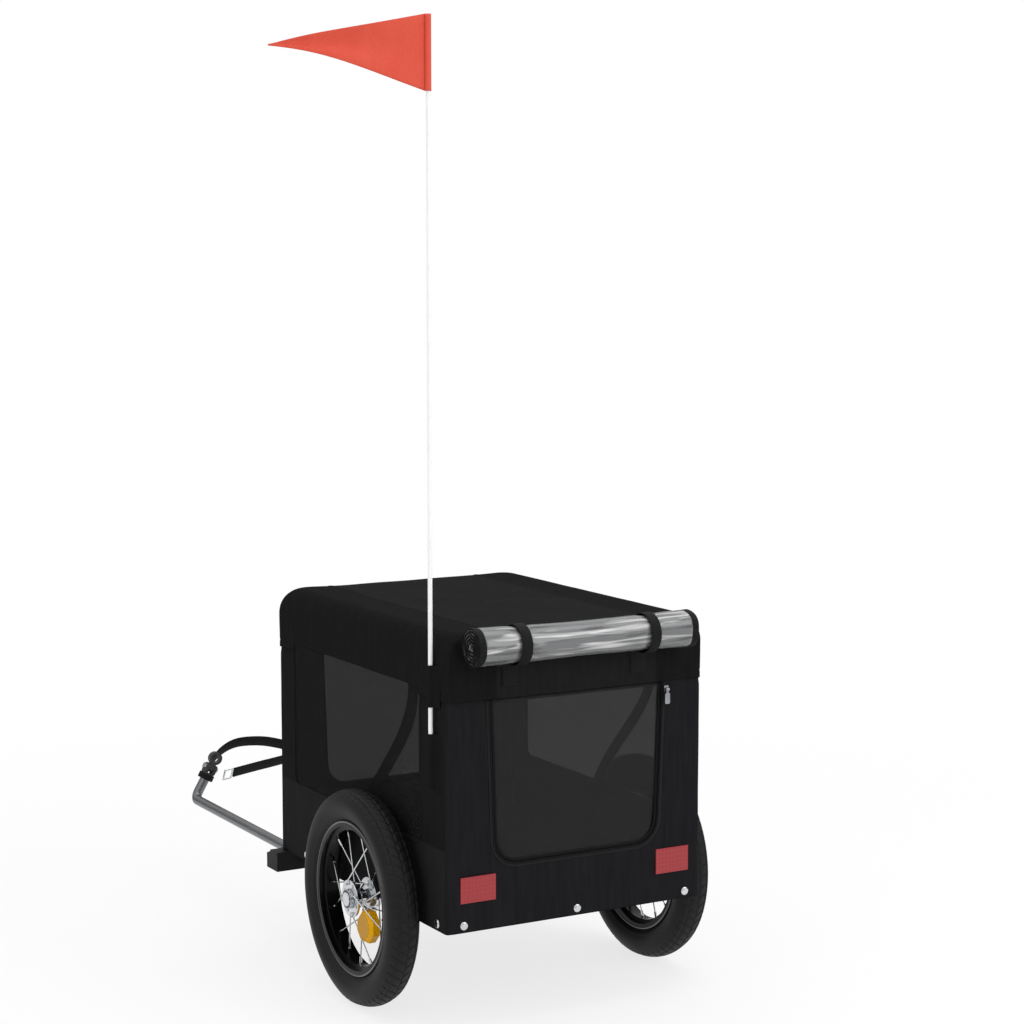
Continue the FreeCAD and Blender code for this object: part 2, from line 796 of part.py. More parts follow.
def build_roll_straps(centre_y, centre_z):
    """Webbing from a sewn tab on the skirt, round the outside of the roll and down on to the roof."""
    fit = roll_radius + roll_strap_fit
    outside = fit + roll_strap_thickness
    skirt = -roof_half_length
    tab_face = skirt - roll_strap_thickness
    strap_half = roll_strap_width / 2
    # The run to the roof leaves the roll where a line to the roof's top touches it.
    roof_y = -roof_half_length + roof_edge_radius + roll_strap_roof_length / 2
    rise = cabin_top - centre_z
    reach = roof_y - centre_y
    leave_angle = math.atan2(rise, reach) + math.acos(fit / math.hypot(rise, reach))
    leave = vec(0, math.cos(leave_angle), math.sin(leave_angle))
    centre = vec(0, centre_y, centre_z)
    inner_leave = centre.add(leave * fit)
    outer_leave = centre.add(leave * outside)
    roof_point = vec(0, roof_y, cabin_top)
    roof_outer = vec(0, roof_y, cabin_top + roll_strap_thickness)
    run = polygon_face([inner_leave, outer_leave, roof_outer, roof_point]).extrude(X_AXIS * roll_strap_width)
    roof_end = block(
        (0, roll_strap_width),
        (roof_y, roof_y + roll_strap_roof_length),
        (cabin_top, cabin_top + roll_strap_thickness),
    )

    tab_low = cabin_top - roll_tab_bottom_drop
    meet = centre_z - math.sqrt(fit ** 2 - (tab_face - centre_y) ** 2)
    widening = (roll_tab_width - roll_strap_width) / 2
    tab_x = (-widening, roll_strap_width + widening)
    tab = block(tab_x, (tab_face, skirt), (tab_low, tab_low + roll_tab_width))
    stem = block((0, roll_strap_width), (tab_face, skirt), (tab_low, meet))

    ring = rod(outside, vec(0, centre_y, centre_z), vec(roll_strap_width, centre_y, centre_z))
    bore_end = roll_strap_width + overrun
    ring = ring.cut(rod(fit, vec(-overrun, centre_y, centre_z), vec(bore_end, centre_y, centre_z)))
    low_side = block((-overrun, roll_strap_width + overrun), (tab_face, 0), (0, centre_z))
    wedge_far = centre.add(leave * (outside + overrun))
    wedge = polygon_face([centre, wedge_far, vec(0, 0, wedge_far.z), vec(0, 0, centre_z)])
    high_side = wedge.extrude(X_AXIS * (roll_strap_width + 2 * overrun)).translated(X_AXIS * -overrun)
    ring = ring.cut([low_side, high_side])
    ring = max(ring.Solids, key=lambda solid: solid.Volume)
    strap = joined([tab, stem, ring, run, roof_end])
    keep(
        "roll_straps",
        strap.translated(vec(-roll_strap_spacing - strap_half, 0, 0)),
        strap.translated(vec(roll_strap_spacing - strap_half, 0, 0)),
    )


# Flag pole and pennant on the left side

pole_x = -(roof_half_width + pole_stand_off)
pole_y = pole_rear_margin - half_length
pocket_low = cabin_top - pocket_top_drop - pocket_length
pole_foot = pocket_low + pocket_floor + seat_gap


def cloth_tunnel(low, high, back, floor):
    """A cloth tunnel round the pole, sewn to the wall at x = back, with a closed floor if it has one."""
    radius = pole_radius + sleeve_fit
    outside = radius + sleeve_wall
    tunnel = joined([
        rod(outside, vec(pole_x, pole_y, low), vec(pole_x, pole_y, high)),
        block((pole_x, back), (pole_y - outside, pole_y + outside), (low, high)),
    ])
    return tunnel.cut(rod(radius, vec(pole_x, pole_y, low + floor), vec(pole_x, pole_y, high + overrun)))


def build_flag():
    sleeve_high = cabin_top - sleeve_top_drop
    sleeve_low = sleeve_high - sleeve_length
    upper = cloth_tunnel(sleeve_low, sleeve_high, -roof_half_width, -overrun)
    pocket = cloth_tunnel(pocket_low, pocket_low + pocket_length, -half_width, pocket_floor)
    keep("pole_sleeves", upper, pocket)
    pole_end = vec(pole_x, pole_y, pole_top_height)
    cap = rod(pole_cap_radius, pole_end, pole_end.add(Z_AXIS * pole_cap_height))
    rim = max(cap.Faces, key=lambda face: face.CenterOfMass.z)
    cap = cap.makeFillet(pole_cap_height / 2, rim.Edges)
    keep("flag_pole", joined([rod(pole_radius, vec(pole_x, pole_y, pole_foot), pole_end), cap]))

    sleeve_inner = pole_radius + running_clearance
    sleeve_outer = sleeve_inner + pennant_sleeve_wall
    high = pole_top_height - seat_gap
    low = high - pennant_hoist
    start = (sleeve_inner + sleeve_outer) / 2
    quarter = (pennant_length - start) / 4
    half = pennant_thickness / 2

    def wave(offset):
        """Two arcs that bulge to one side and then to the other."""
        ends = [vec(start + quarter * index, offset, low) for index in range(5)]
        crest = ends[1].add(Y_AXIS * pennant_wave)
        trough = ends[3].sub(Y_AXIS * pennant_wave)
        return [
            Part.Arc(ends[0], crest, ends[2]).toShape(),
            Part.Arc(ends[2], trough, ends[4]).toShape(),
        ]

    caps = [
        Part.LineSegment(vec(along, -half, low), vec(along, half, low)).toShape()
        for along in (start, pennant_length)
    ]
    strip = Part.Face(Part.Wire(Part.__sortEdges__(wave(half) + wave(-half) + caps)))
    strip = strip.extrude(Z_AXIS * pennant_hoist)
    side = pennant_wave + overrun
    tip_high = high - pennant_tip_drop
    outline = [
        vec(0, -side, low),
        vec(pennant_length, -side, tip_high - pennant_tip_height),
        vec(pennant_length, -side, tip_high),
        vec(0, -side, high),
    ]
    cloth = strip.common(polygon_face(outline).extrude(Y_AXIS * (2 * side)))
    hoist = rod(sleeve_outer, vec(0, 0, low), vec(0, 0, high))
    bore = rod(sleeve_inner, vec(0, 0, low - overrun), vec(0, 0, high + overrun))
    pennant = joined([hoist, cloth]).cut(bore)
    pennant.rotate(MIDDLE, Z_AXIS, 180 - pennant_turn)
    keep("pennant", pennant.translated(vec(pole_x, pole_y, 0)))
    references["pole_axis"] = vec(pole_x, pole_y, pole_foot)


# Wheels, built for the right side and mirrored for the left

def wheel_point(along, radius, angle):
    """A point on the right wheel from its distance out of the wheel's plane, its radius and its angle."""
    turn = math.radians(angle)
    return vec(wheel_plane + along, axle_y + radius * math.cos(turn), axle_height + radius * math.sin(turn))


wheel_centre = vec(wheel_plane, axle_y, axle_height)
rim_flange_radius = tyre_radius - tyre_section_height
rim_seat_radius = rim_flange_radius - rim_seat_depth
rim_well_radius = rim_seat_radius - rim_well_depth
rim_inner_radius = rim_well_radius - rim_wall
hub_outer_reach = flange_offset + flange_thickness / 2
spoke_phase = reflector_angle - 67.5
flange_step = 360 / spokes_per_flange
reflector_end_radius = rim_inner_radius - nipple_reach - reflector_rim_gap
reflector_centre_radius = (reflector_start_radius + reflector_end_radius) / 2
reflector_radial_half = (reflector_end_radius - reflector_start_radius) / 2
tyre_middle_radius = tyre_radius - tyre_width / 2
cavity_radius = tyre_width / 2 - tyre_wall
cavity_middle = tyre_radius - tyre_crown - cavity_radius
tube_radius = cavity_radius - seat_gap


def build_tyre():
    """A tyre section of side arcs and a grooved crown, hollow for the inner tube."""
    bead = rim_seat_radius + seat_gap
    waist = rim_flange_radius + seat_gap
    half = tyre_width / 2
    shoulder = tyre_radius - tread_drop
    neck = tyre_bead_half_width
    left_edge = vec(-tread_half_width, shoulder, 0)
    right_edge = vec(tread_half_width, shoulder, 0)
    left = Part.Arc(vec(-neck, waist, 0), vec(-half, tyre_middle_radius, 0), left_edge)
    right = Part.Arc(right_edge, vec(half, tyre_middle_radius, 0), vec(neck, waist, 0))
    crown = Part.Arc(left_edge, vec(0, tyre_radius, 0), right_edge)
    corners = [(neck, waist), (neck, bead), (-neck, bead), (-neck, waist)]
    edges = [left.toShape(), crown.toShape(), right.toShape()]
    for (a, b), (c, d) in zip(corners, corners[1:]):
        edges.append(Part.LineSegment(vec(a, b, 0), vec(c, d, 0)).toShape())
    section = Part.Face(Part.Wire(Part.__sortEdges__(edges)))
    hollow = Part.Face(Part.Wire(Part.Circle(vec(0, cavity_middle, 0), Z_AXIS, cavity_radius).toShape()))
    mouth = cavity_radius / 2
    throat_depth = cavity_middle - bead + overrun
    throat = Part.makePlane(2 * mouth, throat_depth, vec(-mouth, bead - overrun, 0), Z_AXIS)
    section = section.cut([hollow, throat])
    for side in (-1, 1):
        middle = side * tread_groove_offset
        groove = Part.makePlane(
            tread_groove_width,
            tread_groove_depth + overrun,
            vec(middle - tread_groove_width / 2, tyre_radius - tread_groove_depth, 0),
            Z_AXIS,
        )
        section = section.cut(groove)
    tyre = section.Faces[0].revolve(MIDDLE, X_AXIS, 360).translated(wheel_centre)
    tube = Part.makeTorus(cavity_middle, tube_radius, wheel_centre, X_AXIS)
    tube = tube.cut(Part.makeTorus(cavity_middle, tube_radius - tube_wall, wheel_centre, X_AXIS))
    return tyre, tube


def rim_blank():
    """A single-wall rim: two flanges, two bead seats and a drop well between them."""
    flange = rim_half_width - rim_wall
    slope = rim_well_half_width + rim_slope_width
    outside = [
        (-rim_half_width, rim_flange_radius),
        (-flange, rim_flange_radius),
        (-flange, rim_seat_radius),
        (-slope, rim_seat_radius),
        (-rim_well_half_width, rim_well_radius),
    ]
    inside = [
        (-rim_well_half_width - rim_wall, rim_inner_radius),
        (-slope - rim_wall, rim_seat_radius - rim_wall),
        (-rim_half_width, rim_seat_radius - rim_wall),
    ]

    def across(points):
        return [(-along, radius) for along, radius in reversed(points)]

    return turned(outside + across(outside) + across(inside) + inside, wheel_centre)


def hub_blank():
    """A hub turned with two flanges, a waist and a bearing pocket at each end."""
    inner_flange = -flange_offset - flange_thickness / 2
    waist = [
        (flange_thickness / 2 - flange_offset, hub_boss_radius),
        (-hub_waist_inner - hub_waist_slope, hub_boss_radius),
        (-hub_waist_inner, hub_waist_radius),
        (hub_waist_outer, hub_waist_radius),
        (hub_waist_outer + hub_waist_slope, hub_boss_radius),
        (flange_offset - flange_thickness / 2, hub_boss_radius),
    ]
    outline = [
        (-hub_inner_reach, bearing_radius),
        (-hub_inner_reach, hub_boss_radius),
        (inner_flange, hub_boss_radius),
        (inner_flange, flange_radius),
        (flange_thickness / 2 - flange_offset, flange_radius),
    ]
    outline += waist
    outline += [
        (flange_offset - flange_thickness / 2, flange_radius),
        (hub_outer_reach, flange_radius),
        (hub_outer_reach, bearing_radius),
        (hub_outer_reach - bearing_width, bearing_radius),
        (hub_outer_reach - bearing_width, hub_bore_radius),
        (bearing_width - hub_inner_reach, hub_bore_radius),
        (bearing_width - hub_inner_reach, bearing_radius),
    ]
    return turned(outline, wheel_centre)


def bearing(low):
    """A sealed bearing: a ring whose seals lie a little below its two faces."""
    high = low + bearing_width
    bore = axle_radius + running_clearance
    rim = bearing_radius - bearing_fit
    seal_low = bore + bearing_seal_inset
    seal_high = rim - bearing_seal_inset
    points = [(low, bore), (high, bore), (high, seal_low), (high - bearing_seal_depth, seal_low)]
    points += [(high - bearing_seal_depth, seal_high), (high, seal_high), (high, rim), (low, rim)]
    points += [(low, seal_high), (low + bearing_seal_depth, seal_high)]
    points += [(low + bearing_seal_depth, seal_low), (low, seal_low)]
    return turned(points, wheel_centre)


def outer_elbow_lift(lift):
    """How far an outer elbow stands off the flange's middle, for its spoke to clear the flange's edge."""
    turn = math.radians(flange_step)
    run_out = rim_inner_radius * math.cos(turn) - flange_hole_circle
    run = math.hypot(run_out, rim_inner_radius * math.sin(turn))
    radial = flange_hole_circle * run_out / run
    to_edge = math.sqrt(radial ** 2 + flange_radius ** 2 - flange_hole_circle ** 2) - radial
    return (flange_offset + lift) / (1 - to_edge / run) - flange_offset


def spoke_ends():
    """Each spoke's elbow beside its flange, its head on the flange's other face and its seat in the rim."""
    ends = []
    lift = flange_thickness / 2 + spoke_radius + spoke_fit
    outer_lift = outer_elbow_lift(lift)
    for flange in (1, -1):
        phase = spoke_phase + (0 if flange == 1 else flange_step / 2)
        for index in range(spokes_per_flange):
            lead = 1 if index % 2 == 0 else -1
            hub_angle = phase + index * flange_step
            plane = flange * flange_offset
            side = flange * lead
            stand = outer_lift if lead == 1 else lift
            elbow = wheel_point(plane + side * stand, flange_hole_circle, hub_angle)
            head = wheel_point(plane - side * lift, flange_hole_circle, hub_angle)
            seat = wheel_point(0, rim_inner_radius, hub_angle + lead * flange_step)
            ends.append((elbow, head, seat))
    return ends


def nipple_at(seat, way):
    """A nipple through the rim, headed in the well, bored for the spoke's end."""
    body = rod(nipple_radius, seat.sub(way * nipple_reach), seat.add(way * nipple_head_lift))
    head_end = nipple_head_lift + nipple_head_length
    head = rod(nipple_head_radius, seat.add(way * nipple_head_lift), seat.add(way * head_end))
    bore = rod(
        spoke_radius + running_clearance,
        seat.sub(way * (nipple_reach + overrun)),
        seat.sub(way * nipple_floor),
    )
    return joined([body, head]).cut(bore)


def reflector_solid():
    """An eight-sided reflector between two spokes of the outer flange, as wide as their gap."""
    spread = math.radians(67.5)
    hub_end = vec(flange_hole_circle * math.cos(spread), -flange_hole_circle * math.sin(spread), 0)
    rim_turn = spread - math.radians(flange_step)
    rim_end = vec(rim_inner_radius * math.cos(rim_turn), -rim_inner_radius * math.sin(rim_turn), 0)
    run = rim_end.sub(hub_end)
    run.normalize()
    to_centre = vec(reflector_centre_radius, 0, 0).sub(hub_end)
    room = abs(run.cross(to_centre).z) - spoke_radius - seat_gap
    slant = abs(run.y)
    across = math.sqrt(room ** 2 - (reflector_radial_half * slant) ** 2) / abs(run.x)
    turns = [2 * math.pi * (corner + 1 / 2) / reflector_sides for corner in range(reflector_sides)]
    outline = [vec(reflector_radial_half * math.cos(turn), across * math.sin(turn), 0) for turn in turns]
    solid = polygon_face(outline).extrude(Z_AXIS * (reflector_inner_reach + reflector_outer_reach))
    outer_face = max(solid.Faces, key=lambda face: face.CenterOfMass.z)
    solid = solid.makeChamfer(reflector_bevel, outer_face.Edges)
    solid.translate(vec(reflector_centre_radius, 0, -reflector_inner_reach))
    # Z becomes the way out of the wheel, and X the way from the hub to the reflector.
    solid.rotate(MIDDLE, vec(1, 1, 1), 120)
    solid.rotate(MIDDLE, X_AXIS, reflector_angle)
    return solid.translated(wheel_centre)


def build_wheels():
    tyre, tube = build_tyre()
    rim = rim_blank()
    hub = hub_blank()
    spokes = []
    nipples = []
    for elbow, head, seat in spoke_ends():
        way = seat.sub(elbow)
        way.normalize()
        outward = elbow.sub(head)
        outward.normalize()
        head_face = head.add(outward * spoke_radius)
        spokes.append(joined([
            rod(spoke_radius, elbow, seat.sub(way * (nipple_floor + seat_gap))),
            Part.makeSphere(spoke_radius, elbow),
            rod(spoke_radius, head_face, elbow),
            rod(spoke_head_radius, head_face.sub(outward * spoke_head_length), head_face),
        ]))
        nipples.append(nipple_at(seat, way))
        hole = nipple_radius + seat_gap
        rim = rim.cut(rod(hole, seat.sub(way * nipple_reach), seat.add(way * nipple_reach)))
        hub = hub.cut(rod(spoke_radius + seat_gap, head_face, elbow))
    valve_root = cavity_middle - tube_radius + tube_wall / 2
    stem_top = wheel_point(0, valve_root, valve_angle)
    stem_foot = wheel_point(0, valve_root - valve_length, valve_angle)
    stem_hole = wheel_point(0, rim_inner_radius - overrun, valve_angle)
    rim = rim.cut(rod(valve_radius + seat_gap, stem_hole, stem_top))
    valve = rod(valve_radius, stem_foot, stem_top)
    bearings = [bearing(-hub_inner_reach), bearing(hub_outer_reach - bearing_width)]

    right = {
        "tyre": [tyre],
        "inner_tube": [joined([tube, valve])],
        "rim": [rim],
        "spokes": spokes,
        "nipples": nipples,
        "hub": [hub],
        "hub_bearings": bearings,
        "spoke_reflector": [reflector_solid()],
    }
    receiver, axle, cap, button = axle_pieces()
    right["release_button"] = [button]
    for name, shapes in right.items():
        keep("right_" + name, *shapes)
        keep("left_" + name, *mirrored(shapes, X_AXIS))
    for name, shape in (("axle_receivers", receiver), ("stub_axles", axle), ("axle_caps", cap)):
        keep(name, *mirrored([shape], X_AXIS), shape)
    references["right_wheel_axis"] = wheel_centre
    references["left_wheel_axis"] = vec(-wheel_plane, axle_y, axle_height)


def axle_pieces():
    """The right stub axle with its receiver, the cap on its end and the button in the cap."""
    def at(x):
        return vec(x, axle_y, axle_height)

    receiver_start = inner_half_width - rail_size - receiver_inner_reach
    receiver_end = half_width + receiver_stand_out
    hub_inner = wheel_plane - hub_inner_reach
    hub_outer = wheel_plane + hub_outer_reach
    axle_end = hub_outer + axle_side_play
    receiver = rod(receiver_radius, at(receiver_start), at(receiver_end))
    receiver = receiver.cut(rod(axle_radius + running_clearance, at(receiver_start), at(receiver_end)))
    axle = joined([
        rod(axle_radius, at(receiver_start + axle_tail_gap), at(axle_end)),
        rod(axle_collar_radius, at(receiver_end), at(hub_inner - axle_side_play)),
    ])
    head_low = axle_end + button_lift
    stem_end = head_low - button_stem_length
    stem_bore = button_stem_radius + running_clearance
    axle = axle.cut(rod(stem_bore, at(stem_end - button_bore_spare), at(axle_end + overrun)))
    cap = rod(cap_radius, at(axle_end), at(axle_end + cap_height))
    cap = cap.cut([
        rod(button_radius + button_fit, at(axle_end + cap_floor), at(axle_end + cap_height + overrun)),
        rod(stem_bore, at(axle_end - overrun), at(axle_end + cap_height)),
    ])
    head = rod(button_radius, at(head_low), at(head_low + button_thickness))
    outer_face = max(head.Faces, key=lambda face: face.CenterOfMass.x)
    head = head.makeFillet(button_thickness / 2, outer_face.Edges)
    button = joined([head, rod(button_stem_radius, at(stem_end), at(head_low))])
    return receiver, axle, cap, button


# Drawbar, bracket, coupling and safety strap

drawbar_x = -drawbar_side_offset
drawbar_z = rail_bottom - drawbar_drop
drawbar_start = half_length - drawbar_insertion
bend_point = vec(drawbar_x, half_length + drawbar_reach, drawbar_z)
leg_turn = FreeCAD.Rotation(Y_AXIS, drawbar_lean)


def on_leg(shape):
    """Moves a shape drawn about the bend, with the leg along Z, to its place on the leaning leg."""
    moved = shape.copy()
    moved.Placement = FreeCAD.Placement(bend_point, leg_turn)
    return moved


def build_drawbar():
    leg_end = bend_point.add(leg_turn.multVec(Z_AXIS * drawbar_leg_length))
    points = [vec(drawbar_x, drawbar_start, drawbar_z), bend_point, leg_end]
    path = rounded_path(points, lambda back, onward, half_turn: drawbar_bend_radius)
    keep("drawbar_tube", swept(drawbar_radius, path).cut(swept(drawbar_radius - drawbar_wall, path)))
    build_bracket()
    build_coupling()
    build_strap()


def build_bracket():
    """A moulded bar under the front rail, arched in front of it, that clamps the drawbar in a boss."""
    low = rail_bottom - bracket_depth
    rear = half_length - bracket_rear_reach
    nose = half_length + bracket_nose_length
    left = drawbar_x - bracket_left_reach
    right = drawbar_x + bracket_right_reach
    shoulder = low + bracket_shoulder_height
    crest = rail_bottom - bracket_crest_drop
    wall = bracket_wall
    arch = [
        Part.LineSegment(vec(left, half_length, shoulder), vec(left, half_length, low)).toShape(),
        Part.LineSegment(vec(left, half_length, low), vec(right, half_length, low)).toShape(),
        Part.LineSegment(vec(right, half_length, low), vec(right, half_length, shoulder)).toShape(),
        Part.Arc(
            vec(right, half_length, shoulder),
            vec(drawbar_x, half_length, crest),
            vec(left, half_length, shoulder),
        ).toShape(),
    ]
    front = Part.Face(Part.Wire(arch)).extrude(Y_AXIS * (nose - half_length))
    deck = block((left, right), (rear, half_length), (low, rail_bottom))
    body = joined([deck, front])
    inside = (left + wall, right - wall)
    body = body.cut([
        block(inside, (rear + wall, half_length - wall), (low - overrun, rail_bottom - wall)),
        block(inside, (rear + wall, nose - wall), (low - overrun, shoulder - wall)),
    ])
    boss_radius = drawbar_radius + running_clearance + bracket_boss_wall
    boss = rod(boss_radius, vec(drawbar_x, rear, drawbar_z), vec(drawbar_x, nose, drawbar_z))
    body = joined([body, boss])
    body = body.cut(
        rod(
            drawbar_radius + running_clearance,
            vec(drawbar_x, rear - overrun, drawbar_z),
            vec(drawbar_x, nose + overrun, drawbar_z),
        )
    )
    bolts = []
    underside = rail_bottom - wall
    for x, y in bracket_bolt_places():
        seat = vec(x, y, underside)
        head_end = vec(x, y, underside - bracket_bolt_head_height)
        shank_end = vec(x, y, rail_bottom + rail_size / 2 - bolt_tail)
        hole_start = vec(x, y, underside - overrun)
        hole = rod(bracket_bolt_radius + bolt_hole_fit, hole_start, vec(x, y, rail_bottom))
        body = body.cut(hole)
        head = rod(bracket_bolt_head_radius, head_end, seat)
        shank = rod(bracket_bolt_radius, seat, shank_end)
        bolts.append(joined([head, shank]))
    keep("drawbar_bracket", body)
    keep("bracket_bolts", *bolts)


def build_coupling():
    """A fork on the leg's end, a cross bolt through it and the hitch eye that pivots on the bolt."""
    sleeve_bore = drawbar_radius + running_clearance
    sleeve_radius = sleeve_bore + fork_sleeve_wall
    sleeve_low = drawbar_leg_length - fork_sleeve_length
    pivot = fork_pivot_height
    sleeve = rod(sleeve_radius, vec(0, 0, sleeve_low), vec(0, 0, drawbar_leg_length))
    sleeve = sleeve.cut(rod(sleeve_bore, vec(0, 0, sleeve_low), vec(0, 0, drawbar_leg_length)))
    pieces = [sleeve]
    for side in (-1, 1):
        cheek_x = (side * fork_cheek_inner, side * fork_cheek_outer)
        arm = block(cheek_x, (-fork_cheek_radius, fork_cheek_radius), (drawbar_leg_length, pivot))
        lobe = rod(fork_cheek_radius, vec(cheek_x[0], 0, pivot), vec(cheek_x[1], 0, pivot))
        pieces += [arm, lobe]
    fork = joined(pieces)
    hole = fork_bolt_radius + running_clearance
    far = fork_cheek_outer + overrun
    fork = fork.cut(rod(hole, vec(-far, 0, pivot), vec(far, 0, pivot)))
    keep("coupler_fork", on_leg(fork))

    head_end = fork_cheek_outer + fork_bolt_head_height
    bolt = joined([
        rod(fork_bolt_radius, vec(-fork_cheek_outer, 0, pivot), vec(fork_cheek_outer, 0, pivot)),
        rod(fork_bolt_head_radius, vec(-head_end, 0, pivot), vec(-fork_cheek_outer, 0, pivot)),
        rod(fork_bolt_head_radius, vec(fork_cheek_outer, 0, pivot), vec(head_end, 0, pivot)),
    ])
    keep("coupler_bolt", on_leg(bolt))

    tang_ends = (vec(-eye_tang_half_width, 0, pivot), vec(eye_tang_half_width, 0, pivot))
    ring_faces = [vec(0, side * eye_half_thickness, eye_centre_height) for side in (-1, 1)]
    ring = rod(eye_radius, *ring_faces)
    web = block(
        (-eye_tang_half_width, eye_tang_half_width),
        (-eye_half_thickness, eye_half_thickness),
        (pivot, eye_centre_height),
    )
    eye = joined([rod(eye_tang_radius, *tang_ends), web, ring])
    reach = eye_half_thickness + overrun
    eye = eye.cut([
        rod(hole, vec(-far, 0, pivot), vec(far, 0, pivot)),
        rod(eye_hole_radius, vec(0, -reach, eye_centre_height), vec(0, reach, eye_centre_height)),
    ])
    keep("hitch_eye", on_leg(eye))
    references["coupler_pivot"] = bend_point.add(leg_turn.multVec(vec(0, 0, pivot)))
    references["hitch_eye"] = bend_point.add(leg_turn.multVec(vec(0, 0, eye_centre_height)))
    references["coupler_axis"] = leg_turn.multVec(X_AXIS)


def build_collar(section, start, way):
    """The webbing collar on the fork's sleeve, with the sewn tab that the strap grows from."""
    inner = drawbar_radius + running_clearance + fork_sleeve_wall + seat_gap
    low = drawbar_leg_length - fork_sleeve_length + seat_gap
    ends = (vec(0, 0, low), vec(0, 0, low + collar_height))
    ring = on_leg(rod(inner + collar_wall, *ends))
    leg_way = leg_turn.multVec(Z_AXIS)
    radial = start.sub(bend_point)
    radial = radial.sub(leg_way * radial.dot(leg_way))
    sink = radial.Length - inner - collar_wall / 2
    radial.normalize()
    tab = Part.Face(section).extrude(way * (-sink / way.dot(radial)))
    bore = on_leg(rod(inner, vec(0, 0, low - overrun), vec(0, 0, low + collar_height + overrun)))
    keep("strap_collar", joined([ring, tab]).cut(bore))


def build_strap():
    """The safety strap: webbing on edge along a loop, and the wire ring on its end."""
    upward = FreeCAD.Rotation(X_AXIS, strap_tilt).multVec(Z_AXIS)
    route = [bend_point.add(vec(*offset)) for offset in strap_route]

    radii = []

    def radius_at(back, onward, half_turn):
        radii.append(strap_corner_share * min(back, onward) / math.tan(half_turn))
        return radii[-1]

    path = rounded_path(route, radius_at)
    start = path.Edges[0]
    way = start.tangentAt(start.FirstParameter)
    across = way.cross(upward)
    across.normalize()
    across = across * (strap_thickness / 2)
    rise = upward * (strap_width / 2)
    first = route[0]
    section = Part.makePolygon([
        first.add(across).add(rise),
        first.sub(across).add(rise),
        first.sub(across).sub(rise),
        first.add(across).sub(rise),
        first.add(across).add(rise),
    ])
    build_collar(section, first, way)
    sweep = Part.BRepOffsetAPI.MakePipeShell(path)
    sweep.setBiNormalMode(upward)
    sweep.add(section)
    sweep.build()
    sweep.makeSolid()
    strap = sweep.shape()
    full = path.Length * strap_width * strap_thickness
    print("safety strap: length", round(path.Length, 1), "volume share", round(strap.Volume / full, 4))
    print("safety strap: radii", [round(radius) for radius in radii])
    keep("safety_strap", strap)

    last = path.Edges[-1]
    onward = last.tangentAt(last.LastParameter)
    end = route[-1].add(onward * (ring_wire_radius + seat_gap))
    half = strap_width / 2
    far = end.add(onward * (2 * ring_half_length))
    rise = upward * half
    corners = [end.sub(rise), end.add(rise), far.add(rise), far.sub(rise)]
    sides = zip(corners, corners[1:] + corners[:1])
    wire = [rod(ring_wire_radius, a, b) for a, b in sides]
    wire += [Part.makeSphere(ring_wire_radius, corner) for corner in corners]
    keep("strap_ring", joined(wire))


build_base_frame()
build_floor()
build_hoops()
build_cover()
build_end("rear", None)
build_end("front", Y_AXIS)
keep("zip_tapes", *zip_tapes)
build_rear_patches()
build_cover_bolts()
build_roll()
build_flag()
build_wheels()
build_drawbar()

# The safety strap and what is on it lie free, so they have no say in where the origin goes.
loose = ("safety_strap", "strap_ring")
box = FreeCAD.BoundBox()
for name, shapes in nodes.items():
    if name not in loose:
        for shape in shapes:
            box.add(shape.optimalBoundingBox(False, False))
shift = vec(-(box.XMin + box.XMax) / 2, -(box.YMin + box.YMax) / 2, -box.ZMin)
for name, shapes in nodes.items():
    moved = [shape.translated(shift) for shape in shapes]
    solid_count = sum(len(shape.Solids) for shape in moved)
    if solid_count != len(moved) or not all(shape.isValid() for shape in moved):
        print("check", name, "solids", solid_count, "of", len(moved))
    shape = moved[0] if len(moved) == 1 else Part.makeCompound(moved)
    shape.exportStep("parts/" + name + ".step")
print("box", round(box.XLength, 1), round(box.YLength, 1), round(box.ZLength, 1), "nodes", len(nodes))
print("shift", round(shift.x, 4), round(shift.y, 4), round(shift.z, 4))
for name, point in references.items():
    print("reference", name, round(point.x, 4), round(point.y, 4), round(point.z, 4))
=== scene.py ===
import logging
import math
from dataclasses import dataclass, field
from enum import Enum
from functools import lru_cache, partial
from typing import Any, Callable, Protocol, Sequence

import bpy
import numpy as np
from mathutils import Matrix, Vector


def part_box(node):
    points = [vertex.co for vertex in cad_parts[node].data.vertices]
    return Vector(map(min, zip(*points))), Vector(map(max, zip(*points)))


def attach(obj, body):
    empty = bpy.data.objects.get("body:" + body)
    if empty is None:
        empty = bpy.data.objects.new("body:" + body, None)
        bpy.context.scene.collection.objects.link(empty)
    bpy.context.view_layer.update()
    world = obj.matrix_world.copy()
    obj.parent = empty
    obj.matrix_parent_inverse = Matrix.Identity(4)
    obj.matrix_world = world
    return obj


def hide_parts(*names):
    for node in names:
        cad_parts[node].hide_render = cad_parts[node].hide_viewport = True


# The looks of a two-wheeled dog trailer for a bicycle. Metres, +Z up and +Y forward, towards the drawbar.
# New pieces are worked out about the middle of the cabin with the ground at zero, and add_piece moves them
# to the cabin's place in the frame.

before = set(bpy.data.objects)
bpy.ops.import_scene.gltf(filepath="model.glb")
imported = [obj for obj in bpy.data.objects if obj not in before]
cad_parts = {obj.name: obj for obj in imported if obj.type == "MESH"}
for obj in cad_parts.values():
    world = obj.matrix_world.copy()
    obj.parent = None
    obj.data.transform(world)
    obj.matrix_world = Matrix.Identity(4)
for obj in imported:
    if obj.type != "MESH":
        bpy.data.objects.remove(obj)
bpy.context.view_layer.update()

Array = np.ndarray
Point = tuple[float, float, float]
Tree = bpy.types.NodeTree
Node = bpy.types.Node
Socket = bpy.types.NodeSocket
LOG = logging.getLogger("dog_trailer")
MM = 0.001
SIDEWAYS = np.array([1.0, 0.0, 0.0])
FORWARDS = np.array([0.0, 1.0, 0.0])


